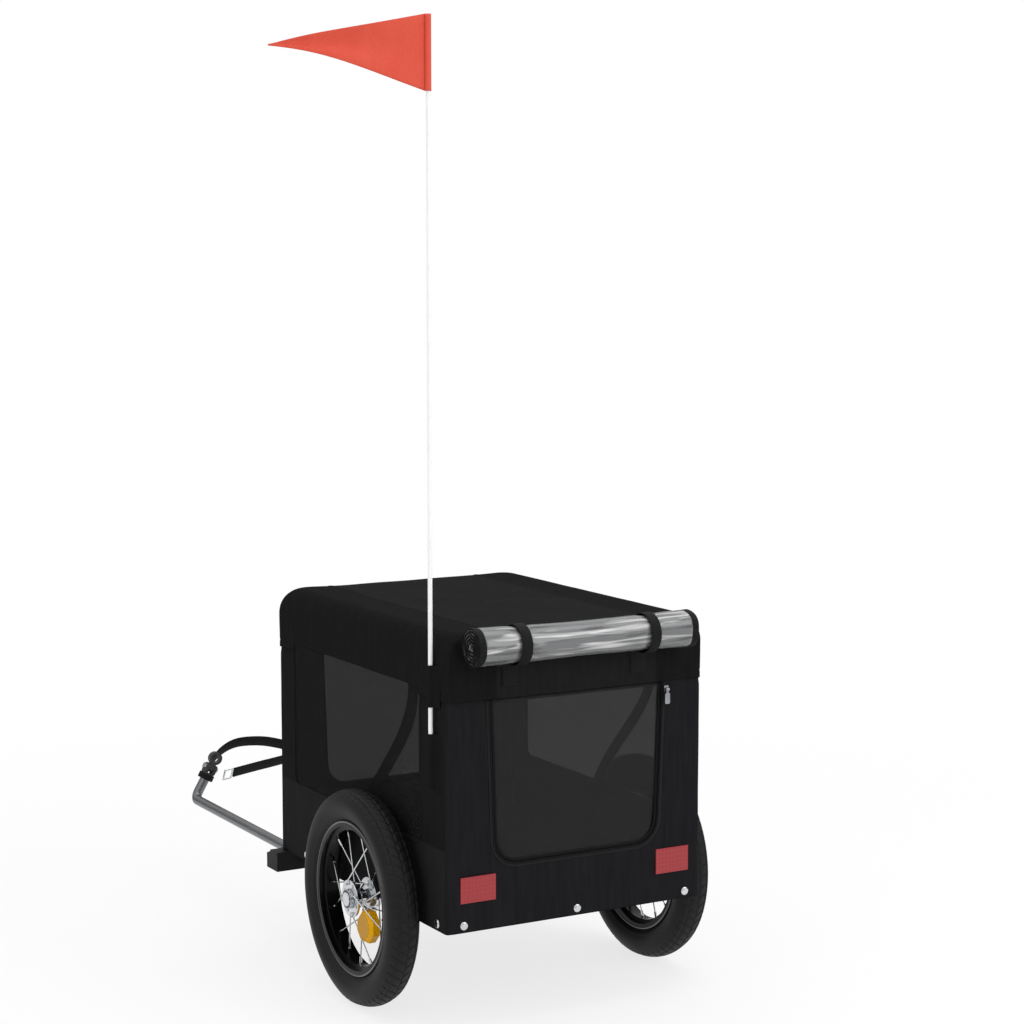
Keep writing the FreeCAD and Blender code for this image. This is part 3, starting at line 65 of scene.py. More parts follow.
class Side(Enum):
    """The two long sides of the cabin, by the sign of X."""

    LEFT = -1
    RIGHT = 1


class End(Enum):
    """The two ends of the cabin, by the sign of Y."""

    REAR = -1
    FRONT = 1


class Axis(Enum):
    """An axis of the frame, named as the Separate XYZ node names its outputs."""

    X = "X"
    Z = "Z"


def cabin_centre() -> Array:
    """The point on the ground under the cabin's middle, from the roof cover's box."""
    low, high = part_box("roof_cover")
    return np.array([(low.x + high.x) / 2, (low.y + high.y) / 2, 0.0])


CENTRE = cabin_centre()


def node_box(node: str) -> tuple[Array, Array]:
    """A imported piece's lowest and highest corners, about the cabin's middle."""
    low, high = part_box(node)
    return np.array(low) - CENTRE, np.array(high) - CENTRE


# Surfaces

@dataclass
class Surface:
    """Points joined by quads, with the UV of each quad's corners in metres, and flat end caps."""

    points: Array
    quads: Array
    uv: Array
    caps: list[list[int]] = field(default_factory=list)


def grid_surface(
    points: Array,
    along: Array | None = None,
    across: Array | None = None,
    close_rows: bool = False,
    close_columns: bool = False,
) -> Surface:
    """Joins a grid of points into quads.

    Formula: quad (i, j) joins points (i, j), (i + 1, j), (i + 1, j + 1) and (i, j + 1), counted round where
    the rows or the columns close.

    Args:
        points: rows by columns by 3.
        along: U of each row, one more than the rows where they close.
        across: V of each column, one more than the columns where they close.
        close_rows: whether the last row joins the first.
        close_columns: whether the last column joins the first.

    Returns:
        The surface.
    """
    rows, columns = points.shape[:2]
    row, column = np.meshgrid(
        np.arange(rows if close_rows else rows - 1),
        np.arange(columns if close_columns else columns - 1),
        indexing="ij",
    )
    corner_row = np.stack([row, row + 1, row + 1, row], -1).reshape(-1, 4)
    corner_column = np.stack([column, column, column + 1, column + 1], -1).reshape(-1, 4)
    quads = (corner_row % rows) * columns + corner_column % columns
    u = np.arange(rows + 1) * MM if along is None else along
    v = np.arange(columns + 1) * MM if across is None else across
    uv = np.stack([u[corner_row], v[corner_column]], -1)
    return Surface(points.reshape(-1, 3), quads, uv)


def join_surfaces(parts: Sequence[Surface]) -> Surface:
    """Puts several surfaces into one.

    Args:
        parts: the surfaces.

    Returns:
        One surface that holds them all.
    """
    starts = np.cumsum([0] + [len(part.points) for part in parts[:-1]])
    caps = [[int(index + start) for index in cap] for part, start in zip(parts, starts) for cap in part.caps]
    return Surface(
        np.concatenate([part.points for part in parts]),
        np.concatenate([part.quads + start for part, start in zip(parts, starts)]),
        np.concatenate([part.uv for part in parts]),
        caps,
    )


def outward(surface: Surface, inside: Array | None = None) -> Surface:
    """Turns a surface's faces away from a point inside it.

    Formula: the sum of each quad's corner dotted with its two triangles' normals, all measured from that
    point, is six times the volume. Where it is negative, every face is turned over.

    Args:
        surface: a closed surface, or an open one that bends round the point.
        inside: the point, or None for the middle of the surface's points.

    Returns:
        The surface with its faces outwards.
    """
    middle = surface.points.mean(0) if inside is None else inside
    a, b, c, d = (surface.points[surface.quads[:, corner]] - middle for corner in range(4))
    if np.sum(a * (np.cross(b, c) + np.cross(c, d))) >= 0:
        return surface
    turned_caps = [cap[::-1] for cap in surface.caps]
    return Surface(surface.points, surface.quads[:, ::-1], surface.uv[:, ::-1], turned_caps)


def unit(vectors: Array) -> Array:
    """Vectors of length 1."""
    return vectors / np.linalg.norm(vectors, axis=-1, keepdims=True)


def run_lengths(points: Array, closed: bool = False) -> Array:
    """The distance of each point along a line, with the closing run at the end where it closes."""
    line = np.concatenate([points, points[:1]]) if closed else points
    return np.concatenate([[0.0], np.cumsum(np.linalg.norm(np.diff(line, axis=0), axis=1))])


def spaced(points: Array, step: float) -> Array:
    """Points evenly spaced along a line of straight runs.

    Args:
        points: the line's corners.
        step: about how far apart the new points lie.

    Returns:
        The new points, with the line's two ends among them.
    """
    lengths = run_lengths(points)
    places = np.linspace(0.0, lengths[-1], max(2, round(lengths[-1] / step) + 1))
    return np.stack([np.interp(places, lengths, points[:, axis]) for axis in range(points.shape[1])], -1)


def sweep(path: Array, section: Array, width_way: Array, closed: bool = False) -> Surface:
    """Carries a closed section along a path.

    Formula: at each point of the path the section's first axis lies along width_way, made square to the
    path, and its second along the cross product of the path's direction and the first.

    Args:
        path: the points of the path.
        section: the section's points, width and depth.
        width_way: the direction of the section's width, one for all points or one each.
        closed: whether the path's end joins its start.

    Returns:
        The surface, capped at the ends of an open path.
    """
    if closed:
        way = unit(np.roll(path, -1, 0) - np.roll(path, 1, 0))
    else:
        way = unit(np.gradient(path, axis=0))
    width = unit(width_way - np.sum(width_way * way, -1, keepdims=True) * way)
    depth = np.cross(way, width)
    rings = path[:, None] + section[:, :1] * width[:, None] + section[:, 1:] * depth[:, None]
    surface = grid_surface(
        rings, run_lengths(path, closed), run_lengths(section, True), close_rows=closed, close_columns=True
    )
    if not closed:
        count = len(section)
        last = len(surface.points) - count
        surface.caps = [list(range(count)), list(range(last + count - 1, last - 1, -1))]
    return outward(surface, None if not closed else path.mean(0))


def strap_section(width: float, thickness: float, edge_share: float = 0.4, steps: int = 3) -> Array:
    """The section of a flat strap with round edges.

    Formula: a rectangle whose corners are quarter circles, with a radius that is a share of the thickness.

    Args:
        width: the strap's width.
        thickness: its thickness.
        edge_share: the corner's radius as a share of the thickness.
        steps: points on each corner.

    Returns:
        The section's points, width and depth.
    """
    radius = edge_share * thickness
    turn = np.linspace(0.0, math.pi / 2, steps)
    signs = np.array([(1, 1), (-1, 1), (-1, -1), (1, -1)])
    corners = signs * np.array([width / 2 - radius, thickness / 2 - radius])
    angles = turn + np.arange(4)[:, None] * math.pi / 2
    arcs = corners[:, None] + radius * np.stack([np.cos(angles), np.sin(angles)], -1)
    return arcs.reshape(-1, 2)


@dataclass(frozen=True)
class Strip:
    """A flat strip: its width, its thickness and how far it lies out of the face that it is sewn on."""

    width: float
    thickness: float
    out: float

    def section(self) -> Array:
        """The strip's section with its round edges."""
        return strap_section(self.width, self.thickness)


def round_section(radius: float, steps: int = 12) -> Array:
    """The points of a round section."""
    turn = np.arange(steps) * 2 * math.pi / steps
    return radius * np.stack([np.cos(turn), np.sin(turn)], -1)


def axle_circle(centre: Array, radius: float, steps: int) -> Array:
    """The points of a circle about an axis along X."""
    return centre + np.pad(round_section(radius, steps), ((0, 0), (1, 0)))


def rounded_line(corners: Sequence[tuple[float, float]], radius: float, steps: int = 12) -> Array:
    """An open line whose inner corners are arcs.

    Formula: each arc touches both runs at the radius divided by the tangent of half the corner's inside
    angle, and its centre lies on the corner's bisector.

    Args:
        corners: the line's points.
        radius: the arcs' radius.
        steps: points on each arc.

    Returns:
        The line's points.
    """
    points = np.array(corners, float)
    pieces = [points[:1]]
    for before, corner, after in zip(points, points[1:], points[2:]):
        back = unit(before - corner)
        onward = unit(after - corner)
        half = math.acos(float(np.clip(back @ onward, -1.0, 1.0))) / 2
        centre = corner + unit(back + onward) * radius / math.sin(half)
        first = corner + back * radius / math.tan(half) - centre
        last = corner + onward * radius / math.tan(half) - centre
        share = np.linspace(0.0, 1.0, steps)[:, None]
        pieces.append(centre + radius * unit(first * (1 - share) + last * share))
    return np.concatenate(pieces + [points[-1:]])


@dataclass(frozen=True)
class Ripple:
    """Soft bumps in cloth: about how far apart they lie, about how high they are, and their seed."""

    wave: float
    height: float
    seed: int

    def at(self, u: Array, v: Array, waves: int = 12) -> Array:
        """The height at each point of a surface.

        Formula: the sum of cosine waves with seeded ways and phases, and lengths from 0.7 to 1.6 of the
        wave, over the root of half their number, times the height.

        Args:
            u: first coordinate of each point.
            v: second coordinate of each point.
            waves: how many waves are added.

        Returns:
            The heights.
        """
        draw = np.random.default_rng(self.seed)
        way = draw.uniform(0.0, 2 * math.pi, waves)
        count = 2 * math.pi / (self.wave * draw.uniform(0.7, 1.6, waves))
        phase = draw.uniform(0.0, 2 * math.pi, waves)
        turn = u[..., None] * count * np.cos(way) + v[..., None] * count * np.sin(way) + phase
        return self.height * np.cos(turn).sum(-1) / math.sqrt(waves / 2)


def ramp(values: Array, start: float, end: float) -> Array:
    """Rises smoothly from 0 at start to 1 at end."""
    share = np.clip((values - start) / (end - start), 0.0, 1.0)
    return share * share * (3 - 2 * share)


def hump(values: Array, middle: float, half: float) -> Array:
    """A bell that is 1 at the middle and falls to a third at half its width."""
    return np.exp(-(((values - middle) / half) ** 2))


# Finishes

def linear(hex_colour: str) -> tuple[float, float, float, float]:
    """Turns an sRGB hex colour into linear red, green, blue and full alpha.

    Args:
        hex_colour: The colour, as # and six hex digits.

    Returns:
        Linear red, green, blue and alpha.
    """
    levels = np.array([int(hex_colour[place:place + 2], 16) for place in (1, 3, 5)]) / 255
    values = np.where(levels <= 0.04045, levels / 12.92, ((levels + 0.055) / 1.055) ** 2.4)
    return (float(values[0]), float(values[1]), float(values[2]), 1.0)


def add_node(tree: Tree, kind: str, links: dict[Any, Any], **settings: Any) -> Node:
    """Adds a node with its settings, and gives each named input a value or a link.

    Args:
        tree: the material's or world's nodes.
        kind: the node's type.
        links: each input's name or place, with a value or another node's output.
        settings: the node's own properties.

    Returns:
        The new node.
    """
    node = tree.nodes.new(kind)
    for name, value in settings.items():
        setattr(node, name, value)
    for name, value in links.items():
        if isinstance(value, Socket):
            tree.links.new(value, node.inputs[name])
        else:
            node.inputs[name].default_value = value
    return node


def fill(shader: Node, **values: Any) -> None:
    """Sets the shader's own sockets, named with underscores for spaces."""
    for name, value in values.items():
        shader.inputs[name.replace("_", " ")].default_value = value


def wave_scale(spacing: float) -> float:
    """The Wave texture's scale for bands a spacing apart: it has 20 radians to each unit of its scale."""
    return 2 * math.pi / (20 * spacing)


@dataclass(frozen=True)
class Relief:
    """How deep a pattern is: the share of its bump that shows, and the height of its tops."""

    share: float
    depth: float


def show(
    tree: Tree,
    shader: Node,
    share: Socket,
    colours: Sequence[Any],
    height: Socket | None = None,
    relief: Relief | None = None,
) -> None:
    """Mixes two colours into the shader's base colour, and bumps its surface.

    Args:
        tree: the material's nodes.
        shader: the material's shader.
        share: how much of the second colour shows.
        colours: the two colours, each as hex or as another node's output.
        height: the pattern's height, where it has one.
        relief: how deep that pattern is.
    """
    first, second = (linear(colour) if isinstance(colour, str) else colour for colour in colours)
    mixed = add_node(tree, "ShaderNodeMix", {"Factor": share, "A": first, "B": second}, data_type="RGBA")
    tree.links.new(mixed.outputs["Result"], shader.inputs["Base Color"])
    if relief is not None:
        links = {"Height": height, "Strength": relief.share, "Distance": relief.depth}
        tree.links.new(add_node(tree, "ShaderNodeBump", links).outputs[0], shader.inputs["Normal"])


class Finish(Protocol):
    """What a real surface is made of and how it looks."""

    name: str

    def dress(self, tree: Tree, shader: Node) -> None:
        """Adds the finish's nodes and sets its shader."""


@lru_cache(maxsize=None)
def material_of(finish: Finish) -> bpy.types.Material:
    """Builds a finish's material, once for all the pieces that have it.

    Args:
        finish: The finish to build.

    Returns:
        The finish's material.
    """
    material = bpy.data.materials.new(finish.name)
    material.use_nodes = True
    finish.dress(material.node_tree, material.node_tree.nodes["Principled BSDF"])
    return material


@dataclass(frozen=True)
class Zone:
    """A band of the frame where a cloth has another shade."""

    axis: Axis
    middle: float
    half: float
    yarn: str
    slub: str

    def shades(
        self, tree: Tree, place: Socket, slubs: Socket, outside: tuple[str, str]
    ) -> tuple[list[Socket], Socket]:
        """Mixes the cloth's shade outside the zone and its shade inside.

        Args:
            tree: the material's nodes.
            place: the Object coordinates.
            slubs: the slubs' share.
            outside: the colours of yarn and slubs outside the zone.

        Returns:
            The two shades, and the share that is 1 inside the zone.
        """
        mixes = [
            {"Factor": slubs, "A": linear(yarn), "B": linear(slub)}
            for yarn, slub in (outside, (self.yarn, self.slub))
        ]
        shades = [add_node(tree, "ShaderNodeMix", mix, data_type="RGBA").outputs["Result"] for mix in mixes]
        parts = add_node(tree, "ShaderNodeSeparateXYZ", {0: place})
        band = {0: parts.outputs[self.axis.value], 1: self.middle, 2: self.half}
        return shades, add_node(tree, "ShaderNodeMath", band, operation="COMPARE").outputs[0]


@dataclass(frozen=True)
class WovenCloth:
    """Polyester cloth, plain woven and dyed, with a dull coating.

    The eye sees a matt near-black with faint slubs down the weave, and crossing threads close up. Its
    threads lie 0.5 mm apart on the real cloth and are drawn 1.5 mm apart so that they show.
    """

    name: str
    yarn: str
    slub: str
    thread_spacing: float = 0.0015
    slub_width: float = 0.005
    slub_length: float = 0.05
    roughness: float = 0.95
    gloss: float = 0.03
    zone: Zone | None = None
    relief: Relief = Relief(0.25, 0.0004)

    def dress(self, tree: Tree, shader: Node) -> None:
        """Threads on all three axes make the bump, and long noise along Z makes the slubs.

        Args:
            tree: The material's nodes and links.
            shader: The material's principled shader.
        """
        place = add_node(tree, "ShaderNodeTexCoord", {}).outputs["Object"]
        threads = {"Vector": place, "Scale": wave_scale(self.thread_spacing), "Distortion": 0.4}
        x, y, z = (
            add_node(tree, "ShaderNodeTexWave", threads, bands_direction=axis).outputs["Fac"]
            for axis in ("X", "Y", "Z")
        )
        pair = add_node(tree, "ShaderNodeMath", {0: x, 1: y}, operation="ADD")
        weave = add_node(tree, "ShaderNodeMath", {0: pair.outputs[0], 1: z}, operation="ADD")
        stretch = (1 / self.slub_width, 1 / self.slub_width, 1 / self.slub_length)
        drawn = add_node(tree, "ShaderNodeMapping", {"Vector": place, "Scale": stretch})
        noise = {"Vector": drawn.outputs[0], "Scale": 1.0, "Detail": 3.0}
        slubs = add_node(tree, "ShaderNodeTexNoise", noise).outputs[0]
        limits = {"Value": slubs, "From Min": 0.3, "From Max": 0.8}
        share = add_node(tree, "ShaderNodeMapRange", limits).outputs[0]
        colours: Sequence[Any] = (self.yarn, self.slub)
        if self.zone is not None:
            colours, share = self.zone.shades(tree, place, share, (self.yarn, self.slub))
        show(tree, shader, share, colours, weave.outputs[0], self.relief)
        fill(shader, Roughness=self.roughness, Specular_IOR_Level=self.gloss)


@dataclass(frozen=True)
class MeshCloth:
    """Fine polyester mesh, warp knitted and dyed.

    The eye sees a smooth dark veil that lets about a seventh of the light behind it through. Its holes are
    0.7 mm apart on the real cloth, and are drawn 2 mm apart, as faint dots, so that they show. Light passes
    both faces of the sheet, so what one face lets through is the root of what the sheet does.
    """

    name: str
    yarn: str
    hole: str
    cover: float = 0.64
    hole_spacing: float = 0.002
    roughness: float = 0.9
    gloss: float = 0.05
    relief: Relief = Relief(0.2, 0.0003)

    def dress(self, tree: Tree, shader: Node) -> None:
        """Crossing bands make the knit's dots, and the alpha is the share that the yarn covers.

        Args:
            tree: The material's nodes and links.
            shader: The material's principled shader.
        """
        place = add_node(tree, "ShaderNodeTexCoord", {}).outputs["Object"]
        bands = {"Vector": place, "Scale": wave_scale(self.hole_spacing)}
        up, along = (
            add_node(tree, "ShaderNodeTexWave", bands, bands_direction=way).outputs["Fac"]
            for way in ("Z", "DIAGONAL")
        )
        dots = add_node(tree, "ShaderNodeMath", {0: up, 1: along}, operation="MULTIPLY").outputs[0]
        show(tree, shader, dots, (self.yarn, self.hole), dots, self.relief)
        fill(shader, Roughness=self.roughness, Specular_IOR_Level=self.gloss, Alpha=self.cover)


@dataclass(frozen=True)
class WovenWebbing:
    """Polyester webbing, woven on a narrow loom with ribs along its length.

    The eye sees dull black ribs with a soft shine on their tops. The ribs follow the strap's own UV.
    """

    name: str
    yarn: str
    worn: str
    rib_spacing: float = 0.002
    pick_spacing: float = 0.003
    roughness: float = 0.75
    gloss: float = 0.2
    relief: Relief = Relief(0.4, 0.0005)

    def dress(self, tree: Tree, shader: Node) -> None:
        """Bands across the UV's width make the ribs, and slanting ones the picks.

        Args:
            tree: The material's nodes and links.
            shader: The material's principled shader.
        """
        place = add_node(tree, "ShaderNodeTexCoord", {}).outputs["UV"]
        ribs, picks = (
            add_node(
                tree, "ShaderNodeTexWave", {"Vector": place, "Scale": wave_scale(spacing)},
                bands_direction=way,
            ).outputs["Fac"]
            for way, spacing in (("Y", self.rib_spacing), ("DIAGONAL", self.pick_spacing))
        )
        both = add_node(tree, "ShaderNodeMath", {0: ribs, 1: picks}, operation="MULTIPLY").outputs[0]
        show(tree, shader, both, (self.yarn, self.worn), both, self.relief)
        fill(shader, Roughness=self.roughness, Specular_IOR_Level=self.gloss)


@dataclass(frozen=True)
class SpeckledCoat:
    """A coat or moulding with a fine grain: powder coat, gloss enamel, moulded plastic, rubber or board.

    The eye sees one even colour whose highlight breaks up over the grain, with a little wear in the colour.
    """

    name: str
    colour: str
    worn: str
    grain: float
    grain_depth: float
    roughness: float
    roughness_spread: float = 0.08
    gloss: float = 0.5
    metallic: float = 0.0
    coat: float = 0.0
    patch: float = 0.03
    grain_share: float = 0.3

    def dress(self, tree: Tree, shader: Node) -> None:
        """Fine noise makes the grain, and broad noise the wear and the change of roughness.

        Args:
            tree: The material's nodes and links.
            shader: The material's principled shader.
        """
        place = add_node(tree, "ShaderNodeTexCoord", {}).outputs["Object"]
        fine, broad = (
            add_node(
                tree, "ShaderNodeTexNoise", {"Vector": place, "Scale": 1 / size, "Detail": detail}
            ).outputs[0]
            for size, detail in ((self.grain, 2.0), (self.patch, 4.0))
        )
        wear = {"From Min": 0.35, "From Max": 0.8}
        smooth, dull = self.roughness - self.roughness_spread, self.roughness + self.roughness_spread
        share, rough = (
            add_node(tree, "ShaderNodeMapRange", {"Value": broad, **limits}).outputs[0]
            for limits in (wear, {"To Min": smooth, "To Max": dull})
        )
        show(tree, shader, share, (self.colour, self.worn), fine, Relief(self.grain_share, self.grain_depth))
        tree.links.new(rough, shader.inputs["Roughness"])
        fill(shader, Metallic=self.metallic, Coat_Weight=self.coat, Coat_Roughness=0.08)
        if self.metallic < 1:
            fill(shader, Specular_IOR_Level=self.gloss)


@dataclass(frozen=True)
class TurnedSteel:
    """Steel turned or drawn along X and left bright.

    The eye sees fine rings round the axle that stretch the highlight along it.
    """

    name: str
    colour: str
    dull: str
    ring_spacing: float = 0.0008
    roughness: float = 0.28
    spot: float = 1 / 60
    relief: Relief = Relief(0.1, 0.0001)

    def dress(self, tree: Tree, shader: Node) -> None:
        """Bands along X make the tool's rings, and noise the dull spots.

        Args:
            tree: The material's nodes and links.
            shader: The material's principled shader.
        """
        place = add_node(tree, "ShaderNodeTexCoord", {}).outputs["Object"]
        bands = {"Vector": place, "Scale": wave_scale(self.ring_spacing), "Distortion": 1.0}
        rings = add_node(tree, "ShaderNodeTexWave", bands, bands_direction="X").outputs["Fac"]
        noise = {"Vector": place, "Scale": 1 / self.spot, "Detail": 4.0}
        spots = add_node(tree, "ShaderNodeTexNoise", noise).outputs[0]
        show(tree, shader, spots, (self.colour, self.dull), rings, self.relief)
        fill(shader, Metallic=1.0, Roughness=self.roughness)


@dataclass(frozen=True)
class PrismLens:
    """Clear coloured acrylic moulded over rows of prisms.

    The eye sees a saturated colour broken into small cells under a smooth shine. Its bevels are brighter by
    a painted highlight and its flat face deeper by painted shade. The face lies past a reach from the
    trailer's middle.
    """

    name: str
    bright: str
    deep: str
    middle_x: float
    shaded_face_reach: float
    cell: float = 0.0035
    relief: Relief = Relief(0.25, 0.0006)

    def dress(self, tree: Tree, shader: Node) -> None:
        """Cells of a Voronoi texture stand for the prisms, in the face's painted shade past its reach along
        X, and the bevels keep the painted highlight.

        Args:
            tree: The material's nodes and links.
            shader: The material's principled shader.
        """
        place = add_node(tree, "ShaderNodeTexCoord", {}).outputs["Object"]
        grid = {"Vector": place, "Scale": 1 / self.cell, "Randomness": 0.15}
        cells = add_node(tree, "ShaderNodeTexVoronoi", grid).outputs["Distance"]
        limits = {"Value": cells, "From Min": 0.1, "From Max": 0.7, "To Min": 0.7}
        depth = add_node(tree, "ShaderNodeMapRange", limits).outputs[0]
        # the flat face past its reach gets the painted shade, the bevels nearer the middle the painted
        # highlight
        share = add_node(tree, "ShaderNodeSeparateXYZ", {0: place}).outputs["X"]
        steps = (
            ("SUBTRACT", self.middle_x), ("ABSOLUTE", 0.0), ("GREATER_THAN", self.shaded_face_reach),
            ("MULTIPLY", depth),
        )
        for operation, other in steps:
            share = add_node(tree, "ShaderNodeMath", {0: share, 1: other}, operation=operation).outputs[0]
        show(tree, shader, share, (self.bright, self.deep), cells, self.relief)
        fill(shader, Roughness=0.15, IOR=1.49, Transmission_Weight=0.2, Specular_IOR_Level=0.08)


@dataclass(frozen=True)
class ReflectiveFilm:
    """Red retroreflective film, embossed with a grid of sealed cells.

    The eye sees a dull red with a paler square grid, and a soft shine.
    """

    name: str
    cell_colour: str
    grid_colour: str
    cell: float = 0.006
    line: float = 0.0004
    relief: Relief = Relief(0.3, 0.0003)

    def dress(self, tree: Tree, shader: Node) -> None:
        """A brick texture with no stagger, turned to the wall, gives the cells and the grid between them.

        Args:
            tree: The material's nodes and links.
            shader: The material's principled shader.
        """
        place = add_node(tree, "ShaderNodeTexCoord", {}).outputs["Object"]
        wall = add_node(tree, "ShaderNodeMapping", {"Vector": place, "Rotation": (math.pi / 2, 0.0, 0.0)})
        bricks = {
            "Vector": wall.outputs[0], "Scale": 1.0, "Mortar Size": self.line,
            "Mortar Smooth": 0.5, "Brick Width": self.cell, "Row Height": self.cell,
        }
        grid = add_node(tree, "ShaderNodeTexBrick", bricks, offset=0.0).outputs["Fac"]
        show(tree, shader, grid, (self.cell_colour, self.grid_colour), grid, self.relief)
        fill(shader, Roughness=0.4, Specular_IOR_Level=0.4)


@dataclass(frozen=True)
class ClearFilm:
    """Clear vinyl film, calendered and rolled up.

    The eye sees silver-grey layers and a wet shine. Its few long bright and dark streaks down the roll are
    painted highlights and painted dark reflections in the colour.
    """

    name: str
    middle: str
    # bright is a painted highlight colour and dark a painted dark reflection colour for the streaks
    bright: str
    dark: str
    cover: float = 0.72
    streak_width: float = 0.009
    streak_length: float = 0.13
    dark_reflection_range: tuple[float, float] = (0.3, 0.42)
    highlight_range: tuple[float, float] = (0.56, 0.74)
    relief: Relief = Relief(0.35, 0.003)

    def dress(self, tree: Tree, shader: Node) -> None:
        """Noise drawn out along X makes the streaks: its high parts are painted highlights and its low parts
        painted dark reflections.

        Args:
            tree: The material's nodes and links.
            shader: The material's principled shader.
        """
        place = add_node(tree, "ShaderNodeTexCoord", {}).outputs["Object"]
        stretch = (1 / self.streak_length, 1 / self.streak_width, 1 / self.streak_width)
        drawn = add_node(tree, "ShaderNodeMapping", {"Vector": place, "Scale": stretch})
        noise = {"Vector": drawn.outputs[0], "Scale": 1.0, "Detail": 1.5, "Distortion": 0.9}
        streaks = add_node(tree, "ShaderNodeTexNoise", noise).outputs[0]
        # the noise's low parts paint dark reflections and its high parts paint highlights into the base
        # colour
        low, high = (
            add_node(
                tree, "ShaderNodeMapRange", {"Value": streaks, "From Min": start, "From Max": end}
            ).outputs[0]
            for start, end in (self.dark_reflection_range, self.highlight_range)
        )
        below = {"Factor": low, "A": linear(self.dark), "B": linear(self.middle)}
        plain = add_node(tree, "ShaderNodeMix", below, data_type="RGBA").outputs["Result"]
        show(tree, shader, high, (plain, self.bright), streaks, self.relief)
        fill(shader, Roughness=0.1, IOR=1.53, Alpha=self.cover, Coat_Weight=0.4, Coat_Roughness=0.03)


@dataclass(frozen=True)
class RingedCap:
    """A chrome plated cap, coloured black in a ring round its button.

    The eye sees a bright cup with one dark ring round the button. The ring lies between two distances from
    the axle.
    """

    name: str
    plate: str
    black_ring: str
    axle_y: float
    axle_z: float
    ring_inner: float = 0.0098
    ring_outer: float = 0.0128

    def dress(self, tree: Tree, shader: Node) -> None:
        """The distance from the axle, with X left out, tells the ring from the plate.

        Args:
            tree: The material's nodes and links.
            shader: The material's principled shader.
        """
        place = add_node(tree, "ShaderNodeTexCoord", {}).outputs["Object"]
        flat = add_node(tree, "ShaderNodeVectorMath", {0: place, 1: (0.0, 1.0, 1.0)}, operation="MULTIPLY")
        axle = {0: flat.outputs[0], 1: (0.0, self.axle_y, self.axle_z)}
        away = add_node(tree, "ShaderNodeVectorMath", axle, operation="DISTANCE")
        half = (self.ring_outer - self.ring_inner) / 2
        band = {0: away.outputs["Value"], 1: self.ring_inner + half, 2: half}
        # the ring round the button is coloured black and not metallic
        ring = add_node(tree, "ShaderNodeMath", band, operation="COMPARE").outputs[0]
        metal = add_node(tree, "ShaderNodeMath", {0: 1.0, 1: ring}, operation="SUBTRACT")
        show(tree, shader, ring, (self.plate, self.black_ring))
        tree.links.new(metal.outputs[0], shader.inputs["Metallic"])
        fill(shader, Roughness=0.2)


# Finishes of this trailer. Near-black cloth has little gloss, because its weave scatters the light.
TUB_TOP = 0.252
ROOF_STRIP_HALF = 0.125
AXLE = np.mean(node_box("stub_axles"), 0) + CENTRE
LENS_EDGE = 0.0003
COVER_CLOTH = WovenCloth("polyester_woven_black", "#1B1B1D", "#212124")
SIDE_CLOTH = WovenCloth(
    "polyester_woven_black_tub", "#181819", "#1D1D1E",
    zone=Zone(Axis.Z, TUB_TOP / 2, TUB_TOP / 2, "#202020", "#252525"),
)
ROOF_CLOTH = WovenCloth(
    "polyester_woven_black_roof", "#161617", "#1B1B1C",
    zone=Zone(Axis.X, float(CENTRE[0]), ROOF_STRIP_HALF, "#1C1C1C", "#212121"),
)
PENNANT_CLOTH = WovenCloth(
    "polyester_coated_orange", "#D84E3A", "#DB5541", thread_spacing=0.002, slub_width=0.02,
    slub_length=0.05, roughness=0.6, gloss=0.3,
)
CLOTH_BACK = WovenCloth("polyester_coated_back_grey", "#3E3E40", "#4A4A4C", roughness=0.7)
WINDOW_MESH = MeshCloth("polyester_mesh_knitted_black", "#1E1E1F", "#262627", 0.62)
DOOR_MESH = MeshCloth("polyester_mesh_knitted", "#2D2D2E", "#363637")
WEBBING = WovenWebbing("polyester_webbing_woven", "#080809", "#151516")
ZIP_TAPE = WovenWebbing("polyester_zip_tape_woven", "#161617", "#1C1C1D")
# black binding tape and zip coil, darkened to near-black to paint the shadow in the gap round the door
DOOR_TAPE_GAP_SHADE = WovenWebbing("polyester_binding_tape_woven", "#030303", "#060606")
ZIP_NYLON_GAP_SHADE = SpeckledCoat("nylon_coil_black", "#030303", "#070707", 0.001, 0.0001, 0.6, gloss=0.2)
FRAME_COAT = SpeckledCoat("steel_powder_coated_black", "#141415", "#1C1C1D", 0.0015, 0.0002, 0.45)
DRAWBAR_COAT = SpeckledCoat(
    "steel_powder_coated_gunmetal", "#6E6F72", "#7C7D80", 0.0015, 0.0002, 0.36, metallic=0.9
)
MOULDED_BLACK = SpeckledCoat("nylon_moulded_black", "#060606", "#0B0B0C", 0.0012, 0.0002, 0.55, gloss=0.2)
COUPLER_NYLON = SpeckledCoat("nylon_moulded_grey", "#2A2B2D", "#353638", 0.0012, 0.0002, 0.5, gloss=0.4)
BOARD = SpeckledCoat("polypropylene_board_black", "#171718", "#1F1F20", 0.003, 0.0003, 0.7, gloss=0.3)
RIM_ENAMEL = SpeckledCoat(
    "steel_enamelled_gloss_black", "#060606", "#0B0B0C", 0.004, 0.0001, 0.2, 0.05, gloss=0.1
)
LIP_ENAMEL = SpeckledCoat(
    "steel_enamelled_rolled_edge", "#101011", "#18181A", 0.004, 0.0001, 0.25, 0.05, gloss=0.6, coat=0.4
)
CHROME = SpeckledCoat(
    "steel_chrome_plated", "#D3D5D8", "#B4B6B9", 0.006, 0.0001, 0.16, 0.06, metallic=1.0, patch=0.02
)
CAP = RingedCap("steel_cap_ringed", "#C4C6C9", "#0A0A0A", float(AXLE[1]), float(AXLE[2]))
ZINC = SpeckledCoat("zinc_die_cast_polished", "#A2A4A7", "#7E8083", 0.003, 0.0002, 0.25, metallic=1.0)
TURNED = TurnedSteel("steel_turned_bright", "#B9BBBE", "#8E9093")
